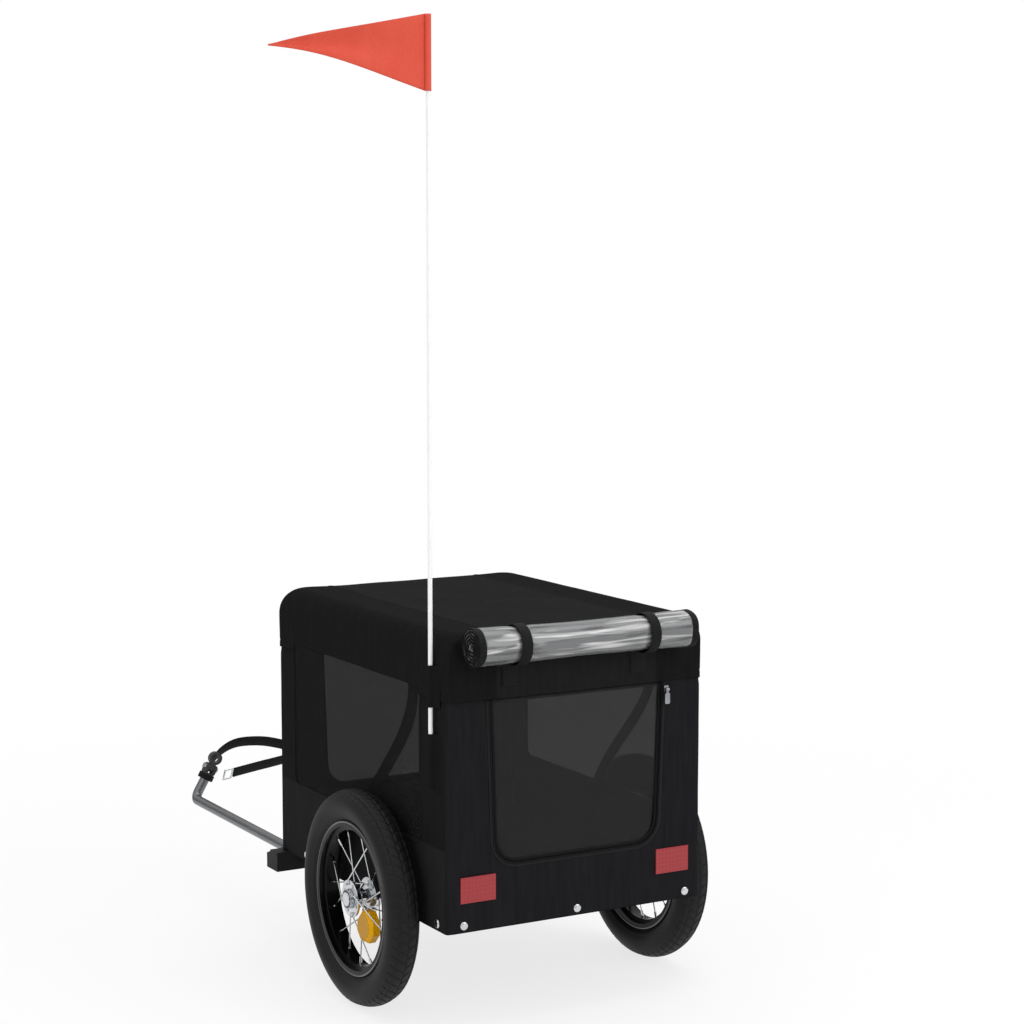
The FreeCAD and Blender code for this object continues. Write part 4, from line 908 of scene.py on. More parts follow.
TYRE_RUBBER = SpeckledCoat("rubber_tyre_moulded", "#0D0D0D", "#131313", 0.0012, 0.0003, 0.58, gloss=0.24)
TUBE_RUBBER = SpeckledCoat("rubber_tube_butyl", "#151515", "#202020", 0.002, 0.0001, 0.6, gloss=0.3)
LENS_FACE = float(node_box("right_spoke_reflector")[1][0]) - LENS_EDGE
# the bevels' painted highlight, then the flat face's painted shade
AMBER = PrismLens("acrylic_amber_prismatic", "#FFBC00", "#B98800", float(CENTRE[0]), LENS_FACE)
RED_FILM = ReflectiveFilm("film_reflective_red", "#972B2F", "#A0383C")
# the film's own silver-grey, then the painted highlight and the painted dark reflection of its streaks
VINYL = ClearFilm("vinyl_clear_film", "#7A7B7C", "#E8E8E8", "#484849")
ROD_WHITE = SpeckledCoat("glass_fibre_rod_white", "#F6F6F4", "#EFEFED", 0.004, 0.0001, 0.4, gloss=0.2)

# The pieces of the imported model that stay, by what they are finished with
NODE_FINISHES: dict[Finish, tuple[str, ...]] = {
    FRAME_COAT: ("base_frame", "rear_hoop", "front_hoop", "top_rails"),
    BOARD: ("floor_board",),
    MOULDED_BLACK: ("hoop_sockets", "drawbar_bracket"),
    RED_FILM: ("rear_reflectors",),
    ROD_WHITE: ("flag_pole",),
    DRAWBAR_COAT: ("drawbar_tube",),
    COUPLER_NYLON: ("coupler_fork", "hitch_eye"),
    CHROME: ("cover_bolts", "bracket_bolts", "coupler_bolt", "strap_ring"),
    TURNED: ("axle_receivers", "stub_axles"),
    CAP: ("axle_caps",),
    ZINC: ("rear_zip_slider", "rear_zip_pull", "front_zip_slider", "front_zip_pull"),
}
# The same for each wheel, less the side's name
WHEEL_FINISHES: dict[Finish, tuple[str, ...]] = {
    TUBE_RUBBER: ("inner_tube",),
    RIM_ENAMEL: ("rim",),
    CHROME: ("spokes", "nipples", "hub", "release_button"),
    TURNED: ("hub_bearings",),
    AMBER: ("spoke_reflector",),
}


def dress_nodes(finishes: dict[Finish, tuple[str, ...]], prefix: str = "") -> None:
    """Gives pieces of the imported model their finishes.

    Args:
        finishes: The names of the pieces that have each finish.
        prefix: What stands before each name.
    """
    for finish, nodes in finishes.items():
        for node in nodes:
            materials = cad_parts[prefix + node].data.materials
            materials.clear()
            materials.append(material_of(finish))


@dataclass(frozen=True)
class Place:
    """What a new piece rides on, the slot that it belongs to and the nodes that it stands for."""

    body: str
    slot: str
    stands_for: tuple[str, ...] = ()


def add_object(name: str, data: bpy.types.ID) -> bpy.types.Object:
    """Puts a new object into the scene.

    Args:
        name: The object's name.
        data: What the object shows or holds.

    Returns:
        The new object.
    """
    item = bpy.data.objects.new(name, data)
    bpy.context.scene.collection.objects.link(item)
    return item


def add_piece(
    name: str, surface: Surface, finish: Finish, place: Place, thickness: float = 0.0,
    lining: Finish | None = None,
) -> bpy.types.Object:
    """Makes a mesh of a surface at the cabin's place in the frame.

    Args:
        name: the piece's name.
        surface: its points, quads and UV, about the cabin's middle.
        finish: what it is made of.
        place: what it rides on and stands for.
        thickness: for a sheet, the thickness that it gets on its inside.
        lining: what the sheet's inside is finished with, where it differs.

    Returns:
        The piece.
    """
    mesh = bpy.data.meshes.new(name)
    mesh.from_pydata((surface.points + CENTRE).tolist(), [], surface.quads.tolist() + surface.caps)
    cap_corners = sum(len(cap) for cap in surface.caps)
    uv = np.concatenate([surface.uv.reshape(-1), np.zeros(2 * cap_corners)])
    mesh.uv_layers.new(name="surface").data.foreach_set("uv", uv.astype(np.float32))
    mesh.polygons.foreach_set("use_smooth", np.ones(len(mesh.polygons), bool))
    mesh.materials.append(material_of(finish))
    if lining is not None:
        mesh.materials.append(material_of(lining))
    mesh.update()
    piece = add_object(name, mesh)
    if thickness:
        wall = piece.modifiers.new("thickness", "SOLIDIFY")
        wall.thickness = thickness
        wall.offset = -1.0
        wall.material_offset = len(mesh.materials) - 1
    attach(piece, place.body)
    if place.stands_for:
        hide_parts(*place.stands_for)
    LOG.info("%s: %d quads on %s", name, len(surface.quads), place.body)
    return piece


# Studio

@dataclass(frozen=True)
class Lamp:
    """A square soft lamp: its place and aim about the cabin's middle, its side's length and its watts."""

    name: str
    place: Point
    aim: Point
    size: float
    power: float

    def add(self) -> None:
        """Hangs the lamp, turned to its aim."""
        data = bpy.data.lights.new(self.name, "AREA")
        data.shape = "SQUARE"
        data.size = self.size
        data.energy = self.power
        lamp = add_object(self.name, data)
        lamp.location = CENTRE + np.array(self.place)
        way = Vector(np.array(self.aim) - np.array(self.place))
        lamp.rotation_euler = way.to_track_quat("-Z", "Y").to_euler()


@dataclass
class Studio:
    """The camera at the photograph's place, soft light from above and a pale floor."""

    camera_place: Point = (-1.6111, -2.9175, 1.0296)
    camera_yaw: float = 29.655
    camera_pitch: float = 6.227
    lens: float = 82.2
    sensor: float = 36.0
    sight: float = 200.0
    floor_half: float = 40.0
    fill_light: float = 0.8
    horizon: float = 0.12
    ceiling_start: float = 0.6
    shadow_start: float = 0.7
    shadow_end: float = 2.2
    shadow_share: float = 0.24
    lamps: tuple[Lamp, ...] = (
        Lamp("top_softbox", (0.3, -0.4, 3.2), (0.0, 0.0, 0.2), 2.6, 34.0),
        Lamp("rear_softbox", (1.9, -3.2, 1.9), (0.0, -0.1, 0.35), 1.8, 30.0),
        Lamp("left_softbox", (-3.4, -1.2, 1.7), (0.0, 0.0, 0.35), 1.8, 11.0),
    )

    def build(self) -> None:
        """Makes the camera, the world, the lamps and the floor."""
        self.add_camera()
        self.add_world()
        for lamp in self.lamps:
            lamp.add()
        self.add_floor()
        bpy.context.scene.view_settings.view_transform = "Standard"

    def add_camera(self) -> None:
        """A level camera, turned and tipped as the fit to the photograph found."""
        data = bpy.data.cameras.new("camera")
        data.lens = self.lens
        data.sensor_width = self.sensor
        data.clip_end = self.sight
        camera = add_object("camera", data)
        yaw, pitch = math.radians(self.camera_yaw), math.radians(self.camera_pitch)
        look = Vector((math.sin(yaw) * math.cos(pitch), math.cos(yaw) * math.cos(pitch), -math.sin(pitch)))
        camera.location = CENTRE + np.array(self.camera_place)
        camera.rotation_euler = look.to_track_quat("-Z", "Y").to_euler()
        bpy.context.scene.camera = camera

    def add_world(self) -> None:
        """Makes the light all round.

        It is white where the camera or glass looks, a bright ceiling over a dim horizon in mirrors, and a
        plain grey elsewhere.
        """
        world = bpy.data.worlds.new("studio")
        world.use_nodes = True
        tree = world.node_tree
        tree.nodes.clear()
        place = add_node(tree, "ShaderNodeTexCoord", {}).outputs["Object"]
        height = add_node(tree, "ShaderNodeSeparateXYZ", {0: place}).outputs["Z"]
        limits = {"From Min": 0.0, "From Max": self.ceiling_start, "To Min": self.horizon, "To Max": 1.0}
        level = add_node(
            tree, "ShaderNodeMapRange", {"Value": height, **limits}, interpolation_type="SMOOTHSTEP"
        )
        white, grey, room = (
            add_node(
                tree, "ShaderNodeBackground", {"Color": linear("#FFFFFF"), "Strength": strength}
            ).outputs[0]
            for strength in (1.0, self.fill_light, level.outputs[0])
        )
        rays = add_node(tree, "ShaderNodeLightPath", {}).outputs
        mirror = add_node(tree, "ShaderNodeMixShader", {0: rays["Is Glossy Ray"], 1: grey, 2: room})
        straight = add_node(
            tree, "ShaderNodeMath", {0: rays["Is Camera Ray"], 1: rays["Is Transmission Ray"]},
            operation="MAXIMUM",
        )
        shares = {0: straight.outputs[0], 1: mirror.outputs[0], 2: white}
        both = add_node(tree, "ShaderNodeMixShader", shares)
        add_node(tree, "ShaderNodeOutputWorld", {"Surface": both.outputs[0]})
        bpy.context.scene.world = world

    def add_floor(self) -> None:
        """A flat pale floor: matt, so that it keeps the shadow near the trailer, and white further off.

        Formula: the corners of a square. Rays from the camera, a mirror or glass see white by a share that
        grows with the distance from the trailer.
        """
        corner = np.array([-self.floor_half, self.floor_half])
        x, y = np.meshgrid(corner, corner, indexing="ij")
        floor = grid_surface(np.stack([x, y, np.zeros_like(x)], -1))
        mesh = bpy.data.meshes.new("floor")
        mesh.from_pydata((floor.points + CENTRE).tolist(), [], floor.quads.tolist())
        material = bpy.data.materials.new("floor_matt_white")
        material.use_nodes = True
        tree = material.node_tree
        tree.nodes.clear()
        matt = add_node(tree, "ShaderNodeBsdfDiffuse", {"Color": linear("#F2F2F2")})
        plain = add_node(tree, "ShaderNodeEmission", {"Color": linear("#FFFFFF"), "Strength": 1.0})
        place = add_node(tree, "ShaderNodeTexCoord", {}).outputs["Object"]
        reach = add_node(
            tree, "ShaderNodeVectorMath", {0: place, 1: tuple(CENTRE)}, operation="DISTANCE"
        ).outputs["Value"]
        limits = {
            "From Min": self.shadow_start, "From Max": self.shadow_end, "To Min": 1 - self.shadow_share,
            "To Max": 1.0,
        }
        share = add_node(
            tree, "ShaderNodeMapRange", {"Value": reach, **limits}, interpolation_type="SMOOTHSTEP"
        ).outputs[0]
        rays = add_node(tree, "ShaderNodeLightPath", {}).outputs
        seen = rays["Is Camera Ray"]
        steps = (
            ("MAXIMUM", rays["Is Glossy Ray"]), ("MAXIMUM", rays["Is Transmission Ray"]), ("MULTIPLY", share)
        )
        for operation, other in steps:
            seen = add_node(tree, "ShaderNodeMath", {0: seen, 1: other}, operation=operation).outputs[0]
        both = add_node(tree, "ShaderNodeMixShader", {0: seen, 1: matt.outputs[0], 2: plain.outputs[0]})
        add_node(tree, "ShaderNodeOutputMaterial", {"Surface": both.outputs[0]})
        mesh.materials.append(material)
        piece = add_object("floor", mesh)


# Safety strap

@dataclass
class SafetyStrap:
    """The webbing strap from the drawbar's fork, with its sewn collar and the ring on its end."""

    bend: Point = (-0.168, 0.694, 0.125)
    width: float = 0.020
    thickness: float = 0.002
    tilt: float = 29.0
    lean: float = 30.0
    collar_low: float = 0.0363
    collar_height: float = 0.010
    collar_radius: float = 0.0122
    collar_thickness: float = 0.002
    tab_share: float = 0.8
    # The route from the collar out, round and back, measured from the drawbar's bend
    route: tuple[Point, ...] = (
        (0.027, 0.0155, 0.038),
        (0.040, 0.026, 0.050),
        (0.055, 0.035, 0.063),
        (0.076, 0.040, 0.074),
        (0.097, 0.040, 0.0796),
        (0.127, 0.038, 0.079),
        (0.149, 0.038, 0.0756),
        (0.171, 0.036, 0.0697),
        (0.191, 0.025, 0.064),
        (0.198, 0.008, 0.0595),
        (0.188, -0.008, 0.056),
        (0.1475, -0.016, 0.052),
        (0.102, -0.018, 0.047),
        (0.062, -0.018, 0.041),
    )

    def build(self) -> None:
        """Makes the strap along its spline and the collar with its tab."""
        points = self.spline_points()
        upward = self.upward()
        section = strap_section(self.width, self.thickness)
        strap = add_piece(
            "safety_strap_webbing", sweep(points, section, upward), WEBBING,
            Place("drawbar", "webbing", ("safety_strap",)),
        )
        collar = Place("drawbar", "webbing", ("strap_collar",))
        add_piece("strap_collar_webbing", self.collar(points), WEBBING, collar)

    def upward(self) -> Array:
        """The direction of the strap's width: up, tipped to the rear."""
        tilt = math.radians(self.tilt)
        return np.array([0.0, -math.sin(tilt), math.cos(tilt)])

    def spline_points(self) -> Array:
        """Points read from a NURBS spline whose control points are the route's.

        Returns:
            The points, about the cabin's middle.
        """
        curve = bpy.data.curves.new("strap_route", "CURVE")
        curve.dimensions = "3D"
        curve.resolution_u = 8
        spline = curve.splines.new("NURBS")
        spline.points.add(len(self.route) - 1)
        for point, place in zip(spline.points, np.array(self.route) + np.array(self.bend)):
            point.co = (*place, 1.0)
        spline.order_u = 3
        spline.use_endpoint_u = True
        line = add_object("strap_route", curve)
        bpy.context.view_layer.update()
        mesh = bpy.data.meshes.new_from_object(line)
        flat = np.zeros(3 * len(mesh.vertices))
        mesh.vertices.foreach_get("co", flat)
        bpy.data.objects.remove(line)
        bpy.data.meshes.remove(mesh)
        return flat.reshape(-1, 3)

    def collar(self, points: Array) -> Surface:
        """A band round the fork's sleeve and the tab that joins it to the strap.

        Formula: a flat section carried round a circle about the leaning leg, and the strap's section carried
        straight from the band to the strap's first point.

        Args:
            points: the strap's points.

        Returns:
            The two as one surface.
        """
        lean = math.radians(self.lean)
        leg = np.array([math.sin(lean), 0.0, math.cos(lean)])
        side = np.array([math.cos(lean), 0.0, -math.sin(lean)])
        middle = np.array(self.bend) + leg * (self.collar_low + self.collar_height / 2)
        circle = middle + round_section(self.collar_radius, 48) @ np.stack([side, FORWARDS])
        band = sweep(circle, strap_section(self.collar_height, self.collar_thickness), leg, closed=True)
        out = points[0] - middle
        out = unit(out - (out @ leg) * leg)
        share = np.linspace(0.0, 1.0, 5)[:, None]
        run = (middle + out * self.collar_radius) * (1 - share) + (points[0] + points[1]) / 2 * share
        tab = sweep(run, strap_section(self.tab_share * self.width, self.thickness), self.upward())
        return join_surfaces([band, tab])


# Cabin cover

@dataclass
class Cabin:
    """The cover's main sizes, read from the frame, which its panels, doors and roof share."""

    half_width: float
    half_length: float
    bottom: float
    skirt_bottom: float
    top: float
    corner_radius: float = 0.006
    cloth: float = 0.0012
    mesh: float = 0.0004
    lap: float = 0.001
    roof_edge_in: float = 0.025
    roof_edge_down: float = 0.037
    roof_sag: float = 0.003
    roof_ripple: Ripple = Ripple(0.11, 0.0006, 3)
    end_loss: float = 0.3
    sag_start: float = 0.2
    wall_wave: float = 0.07
    wall_ripple: float = 0.0005
    tuck: float = 0.001
    tuck_height: float = 0.012
    step: float = 0.004
    window_rear: float = -0.188
    window_front: float = 0.212
    window_rise: float = 0.011

    @classmethod
    def from_frame(cls) -> "Cabin":
        """Reads the sizes from the boxes of the rear panel and the roof cover.

        Returns:
            The cabin with its sizes.
        """
        low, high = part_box("rear_panel")
        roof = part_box("roof_cover")[1]
        return cls(
            half_width=(high.x - low.x) / 2,
            half_length=float(CENTRE[1]) - low.y,
            bottom=low.z,
            skirt_bottom=high.z,
            top=roof.z,
        )

    def end_wall(self, end: End, along: Array, up: Array, out: Array) -> Array:
        """Points of an end wall that goes on round both corners.

        Formula: straight along X to the corner's start, then an arc of the corner's radius, with the out
        distance along the wall's normal.

        Args:
            end: which end.
            along: the distance from the wall's middle, measured along the cloth.
            up: the height.
            out: the distance out of the wall's face.

        Returns:
            The points.
        """
        flat = self.half_width - self.corner_radius
        turn = np.maximum(np.abs(along) - flat, 0.0) / self.corner_radius
        reach = self.corner_radius + out
        x = np.sign(along) * (np.minimum(np.abs(along), flat) + reach * np.sin(turn))
        y = end.value * (self.half_length - self.corner_radius + reach * np.cos(turn))
        return np.stack([x, y, up + 0 * x], -1)

    def side_wall(self, side: Side, along: Array, up: Array, out: Array) -> Array:
        """Points of a side wall: Y along it, with the out distance added to the half width."""
        return np.stack([side.value * (self.half_width + out), along, up + 0 * along], -1)

    def roof_height(self, x: Array, y: Array) -> Array:
        """How far the cloth lies off the roof's shape: a shallow sag between the hoops, and soft ripples.

        Args:
            x: Places across the roof, from its middle.
            y: Places along the roof, from its middle.

        Returns:
            How far off the cloth is at each place.
        """
        a, b = self.half_width, self.half_length
        within = np.clip(1 - (x / a) ** 2, 0, 1) * (1 - self.end_loss * np.clip((y / b) ** 2, 0, 1))
        return within * (self.roof_ripple.at(x, y) - self.roof_sag)

    def roof_line(self, x: float, y: Array) -> Array:
        """Points of a line that runs over the roof's face along Y.

        Formula: a quarter ellipse up from each end, then flat, with the roof's sag added past the round
        edge.

        Args:
            x: where the line lies.
            y: the points' places along it.

        Returns:
            The points.
        """
        inset = self.half_length + self.lap - np.abs(y)
        run = np.clip(1 - inset / self.roof_edge_in, 0.0, 1.0)
        edge = self.top - self.roof_edge_down * (1 - np.sqrt(1 - run * run))
        flat_part = ramp(inset, self.sag_start * self.roof_edge_in, self.roof_edge_in)
        across = np.full_like(y, x)
        return np.stack([across, y, edge + flat_part * self.roof_height(across, y)], -1)

    def centre(self) -> Array:
        """The middle of the cabin, which its walls face away from."""
        return np.array([0.0, 0.0, (self.bottom + self.top) / 2])

    def tucked(self, up: Array) -> Array:
        """How far a wall lies in at each height, so that its upper edge goes under the skirt."""
        return self.tuck * ramp(up, self.skirt_bottom - self.tuck_height, self.skirt_bottom)

    def panel(
        self, wall: Callable[[Array, Array, Array], Array], line: Array, half: float, top: float, rings: int,
        seed: int,
    ) -> Surface:
        """A wall's panel, ruled from its opening to its edges.

        Formula: the points of panel_rays on the wall, with ripples that fade out at the opening and at the
        panel's edges, and the upper edge tucked in.

        Args:
            wall: gives a wall's points from along, up and out.
            line: the opening's outline, open along its top.
            half: half the panel's length along the cloth.
            top: the height of its upper edge.
            rings: points from the opening to the edge.
            seed: the ripples' seed.

        Returns:
            The panel.
        """
        closing = np.linspace(line[-1], line[0], 60)[1:-1]
        outline = np.concatenate([spaced(line, self.step), closing])
        along, up, share = panel_rays(outline, np.array([-half, self.bottom]), np.array([half, top]), rings)
        calm = np.sin(math.pi * share)[:, None]
        out = calm * Ripple(self.wall_wave, self.wall_ripple, seed).at(along, up) - self.tucked(up)
        return outward(grid_surface(wall(along, up, out), close_columns=True), self.centre())


def panel_rays(outline: Array, low: Array, high: Array, rings: int) -> tuple[Array, Array, Array]:
    """A sheet with an opening, ruled from the opening's outline to a rectangle round it.

    Formula: along each ray from the opening's middle, points lie at even shares between the ray's crossing
    of the outline and its crossing of the rectangle. The rays take in every bend of the outline and every
    corner of the rectangle.

    Args:
        outline: the opening's outline, along and up.
        low: the rectangle's lowest corner.
        high: the rectangle's highest corner.
        rings: points on each ray.

    Returns:
        Along and up of the points, rings by rays, and each ring's share.
    """
    middle = (outline.min(0) + outline.max(0)) / 2
    offset = outline - middle
    angle = np.arctan2(offset[:, 1], offset[:, 0])
    corners = np.array([(x, z) for x in (low[0], high[0]) for z in (low[1], high[1])]) - middle
    corner_angle = np.arctan2(corners[:, 1], corners[:, 0])
    even = np.linspace(-math.pi, math.pi, 240, endpoint=False)
    rays = np.unique(np.round(np.concatenate([even, angle, corner_angle]), 5))
    inner = np.interp(rays, angle, np.linalg.norm(offset, axis=1), period=2 * math.pi)
    way = np.stack([np.cos(rays), np.sin(rays)], -1)
    way = np.where(np.abs(way) < 1e-9, 1e-9, way)
    edge = np.where(way > 0, high - middle, low - middle) / way
    outer = edge.min(-1)
    share = np.linspace(0.0, 1.0, rings)
    reach = inner + share[:, None] * (outer - inner)
    return middle[0] + reach * way[:, 0], middle[1] + reach * way[:, 1], share


@dataclass
class RainRoll:
    """The clear rain cover, rolled up over the rear edge of the roof, with its bound ends and two straps."""

    cabin: Cabin
    middle: Point = (-0.005, -0.2875, 0.5240)
    core: float = 0.0055
    radius: float = 0.028
    pitch: float = 0.0045
    half_length: float = 0.170
    bound: float = 0.010
    film_thickness: float = 0.0003
    bound_thickness: float = 0.0016
    edge_gap: float = 0.001
    edge_depth: float = 0.6
    press_fade: float = 0.02
    waist: float = 0.955
    flare: float = 0.08
    pinch: float = 0.06
    pinch_half: float = 0.013
    ripple: Ripple = Ripple(0.03, 0.0006, 51)
    ripple_stretch: float = 5.0
    ripple_turn: float = 0.02
    strap_place: float = 0.100
    webbing: Strip = Strip(0.016, 0.0015, 0.0008)
    tab: Strip = Strip(0.025, 0.0015, 0.0008)
    ring_gap: float = 0.0011
    tab_low: float = 0.466
    tab_drop: float = 0.016
    roof_end: float = -0.236
    roof_start: float = -0.250
    end_angle: float = math.pi + 0.5

    def build(self) -> None:
        """Makes the film, its bound ends and its straps."""
        open_half = self.half_length - self.bound
        inner_half = self.half_length - self.edge_gap
        edges = [
            self.film(side.value * open_half, side.value * inner_half, 4, self.edge_depth) for side in Side
        ]
        film = add_piece(
            "rain_cover_film", join_surfaces([self.film(-open_half, open_half, 150), *edges]), VINYL,
            Place("cabin", "clear_vinyl", ("rain_cover_roll",)), self.film_thickness,
        )
        ends = [self.film(side.value * open_half, side.value * self.half_length, 6) for side in Side]
        add_piece(
            "rain_cover_bound_ends", join_surfaces(ends), WEBBING,
            Place("cabin", "webbing", ("rain_cover_bindings",)), self.bound_thickness,
        )
        straps = join_surfaces([self.strap(side) for side in Side])
        add_piece("rain_cover_straps", straps, WEBBING, Place("cabin", "webbing", ("roll_straps",)))

    def press(self, points: Array) -> Array:
        """Points of the roof's cloth, pushed in where the roll lies on it.

        Formula: a point nearer to the roll's axis than its radius moves straight away from the axis to that
        radius, and less and less past the roll's ends.

        Args:
            points: the cloth's points.

        Returns:
            The moved points.
        """
        away = points[..., 1:] - np.array(self.middle[1:])
        reach = np.linalg.norm(away, axis=-1, keepdims=True)
        past = np.abs(points[..., :1] - self.middle[0])
        within = 1 - ramp(past, self.half_length, self.half_length + self.press_fade)
        push = within * np.maximum(self.radius - reach, 0.0)
        return np.concatenate([points[..., :1], points[..., 1:] + push * away / reach], -1)

    def squeeze(self, x: Array) -> Array:
        """The roll's size along it: slimmer at its middle, and drawn in under the two straps."""
        size = self.waist + self.flare * (x / self.half_length) ** 2
        return size - self.pinch * hump(np.abs(x), self.strap_place, self.pinch_half)

    def film(self, start: float, end: float, rows: int, inner: float = 0.0) -> Surface:
        """A stretch of the rolled film.

        Formula: a spiral about the X axis whose radius grows by the pitch each turn, carried along X, drawn
        in under the straps and uneven by long ripples that grow towards the outside. Its outer end faces the
        roof.

        Args:
            start: where the stretch starts, from the roll's middle.
            end: where it ends.
            rows: points along it.
            inner: how far it lies inside the spiral, as a share of the pitch.

        Returns:
            The surface.
        """
        turns = (self.radius - self.core) / self.pitch
        turn = np.linspace(0.0, 2 * math.pi * turns, round(56 * turns))
        x = np.linspace(start, end, rows)[:, None]
        spiral = self.core + self.pitch * (turn / (2 * math.pi) - inner)
        loose = (spiral / self.radius) ** 2
        uneven = self.ripple.at(x / self.ripple_stretch + 0 * turn, self.ripple_turn * turn + 0 * x) * loose
        radius = spiral * self.squeeze(x) + uneven - self.ripple.height * loose
        angle = turn - turn[-1] + self.end_angle
        points = np.stack([x + 0 * turn, -radius * np.cos(angle), radius * np.sin(angle)], -1)
        return outward(grid_surface(points + np.array(self.middle)), np.array(self.middle))

    def strap(self, side: Side) -> Surface:
        """One strap: a ring round the roll, a tab down the skirt and a run on to the roof.

        Formula: a flat section carried round a circle drawn in like the roll, and along two short lines that
        lie on the skirt and on the roof's face.

        Args:
            side: which strap.

        Returns:
            The strap.
        """
        cabin = self.cabin
        place = side.value * self.strap_place
        x = self.middle[0] + place
        reach = self.radius * float(self.squeeze(np.array(place))) + self.ring_gap
        circle = axle_circle(np.array(self.middle) + SIDEWAYS * place, reach, 72)
        ring = sweep(circle, self.webbing.section(), SIDEWAYS, closed=True)
        z = np.linspace(self.tab_low, self.middle[2] - self.tab_drop, 12)
        tab_line = np.stack([x + 0 * z, -cabin.half_length - cabin.lap - self.tab.out + 0 * z, z], -1)
        tab = sweep(tab_line, self.tab.section(), SIDEWAYS)
        run_line = cabin.roof_line(x, np.linspace(self.roof_end, self.roof_start, 24))
        run_line[:, 2] += self.webbing.out
        run = sweep(self.press(run_line), self.webbing.section(), SIDEWAYS)
        return join_surfaces([ring, tab, run])


@dataclass
class Roof:
    """The roof cover with its skirt, and the seams that cross it."""

    cabin: Cabin
    roll: RainRoll
    soft_corner: float = 0.020
    hem: float = 0.010
    closing_share: float = 0.003
    hang_loss: float = 0.6
    ripple: Ripple = Ripple(0.09, 0.0005, 5)
    stitch_half: float = 0.0012
    stitch_depth: float = 0.0005
    notch_before: float = 0.001
    notch_after: float = 0.003
    felled: Strip = Strip(0.004, 0.0007, 0.0001)
    seam_end: float = 0.003

    def build(self) -> None:
        """Makes the cover and its two seams."""
        cover = add_piece(
            "roof_cover_cloth", self.cover(), ROOF_CLOTH, Place("cabin", "cover_cloth", ("roof_cover",)),
            self.cabin.cloth, CLOTH_BACK,
        )
        for side in Side:
            name = f"roof_seam_{side.name.lower()}"
            add_piece(name, self.seam(side), COVER_CLOTH, Place("cabin", "cover_cloth"))

    def ring(self) -> tuple[Array, Array]:
        """The points round a rectangle with round corners.

        Formula: each quarter is a straight run and a corner, turned by a quarter turn from the last. The
        runs along the sides have more points where the window starts and ends.

        Returns:
            Each point's anchor, from -1 to 1 on the inner rectangle, and its way out from there.
        """
        cabin = self.cabin
        half = cabin.half_length - cabin.corner_radius
        near = np.array([-0.002, 0.0, 0.002, 0.004])
        starts = np.concatenate([cabin.window_rear + near, cabin.window_front - near]) / half
        side_run = np.unique(np.concatenate([np.linspace(-1.0, 1.0, 84), starts, -starts]))[:-1]
        end_run = np.linspace(-1.0, 1.0, 72, endpoint=False)
        turn = np.linspace(0.0, math.pi / 2, 14, endpoint=False)
        bend = np.stack([np.cos(turn), np.sin(turn)], -1)
        anchors, ways = [], []
        for quarter, run in enumerate((side_run, end_run, side_run, end_run)):
            spin = np.linalg.matrix_power(np.array([[0.0, 1.0], [-1.0, 0.0]]), quarter)
            straight = np.stack([np.ones_like(run), run], -1)
            anchors.append(np.concatenate([straight, np.ones((len(turn), 2))]) @ spin)
            ways.append(np.concatenate([np.tile([1.0, 0.0], (len(run), 1)), bend]) @ spin)
        return np.concatenate(anchors), np.concatenate(ways)

    def cover(self) -> Surface:
        """The cover's face, in rings from the skirt's hem up over the round edge and in to the middle.

        Formula: each ring is a rectangle with round corners. Its half sizes shrink by the inset of a quarter
        ellipse, its corners grow softer over that edge, and on the top it shrinks in proportion. The hem is
        higher over the side windows, the skirt ripples a little, and the roll presses the rear edge in.

        Returns:
            The surface, closed at the middle by a cap.
        """
        cabin = self.cabin
        anchor, way = self.ring()
        hem_rows = np.array([0.0, 0.3, 0.75, 0.95, 1.05, 1.25]) * self.hem
        rise = cabin.top - cabin.roof_edge_down - cabin.skirt_bottom
        skirt = np.concatenate([hem_rows, np.linspace(1.8 * self.hem, rise, 14)])
        arc = np.linspace(0.0, math.pi / 2, 19)[1:]
        scale = np.linspace(1.0, self.closing_share, 38)[1:]
        level = np.ones_like(scale)
        inset = cabin.roof_edge_in * np.concatenate([0 * skirt, 1 - np.cos(arc), level])
        up = np.concatenate([
            cabin.skirt_bottom + skirt,
            cabin.top - cabin.roof_edge_down * (1 - np.sin(arc)),
            cabin.top * level,
        ])
        soft = np.concatenate([0 * skirt, np.sin(arc) ** 2, level])
        corner = cabin.corner_radius + soft * (self.soft_corner - cabin.corner_radius)
        size = np.concatenate([np.ones(len(skirt) + len(arc)), scale])
        half = np.array([cabin.half_width + cabin.lap, cabin.half_length + cabin.lap])
        flat = (half - inset[:, None] - corner[:, None])[:, None] * anchor + corner[:, None, None] * way
        flat = flat * size[:, None, None]
        x, y = flat[..., 0], flat[..., 1]
        around = run_lengths(flat[0], True)[:-1] + 0 * x
        hang = np.concatenate([1 - self.hang_loss * skirt / rise, 0 * arc, 0 * scale])[:, None]
        stitch = np.concatenate([hump(skirt, self.hem, self.stitch_half), 0 * arc, 0 * scale])[:, None]
        out = hang * self.ripple.at(around, up[:, None] + 0 * x) - self.stitch_depth * stitch
        top = np.concatenate([0 * skirt, np.sin(arc) ** 4, level])[:, None]
        raised = np.concatenate([1 - skirt / rise, 0 * arc, 0 * scale])[:, None]
        z = up[:, None] + top * cabin.roof_height(x, y) + raised * self.notch(flat[0], way)
        points = self.roll.press(np.stack([x + out * way[:, 0], y + out * way[:, 1], z], -1))
        surface = grid_surface(points, close_columns=True)
        last = len(surface.points) - len(anchor)
        surface.caps = [list(range(last, len(surface.points)))]
        return outward(surface, cabin.centre())

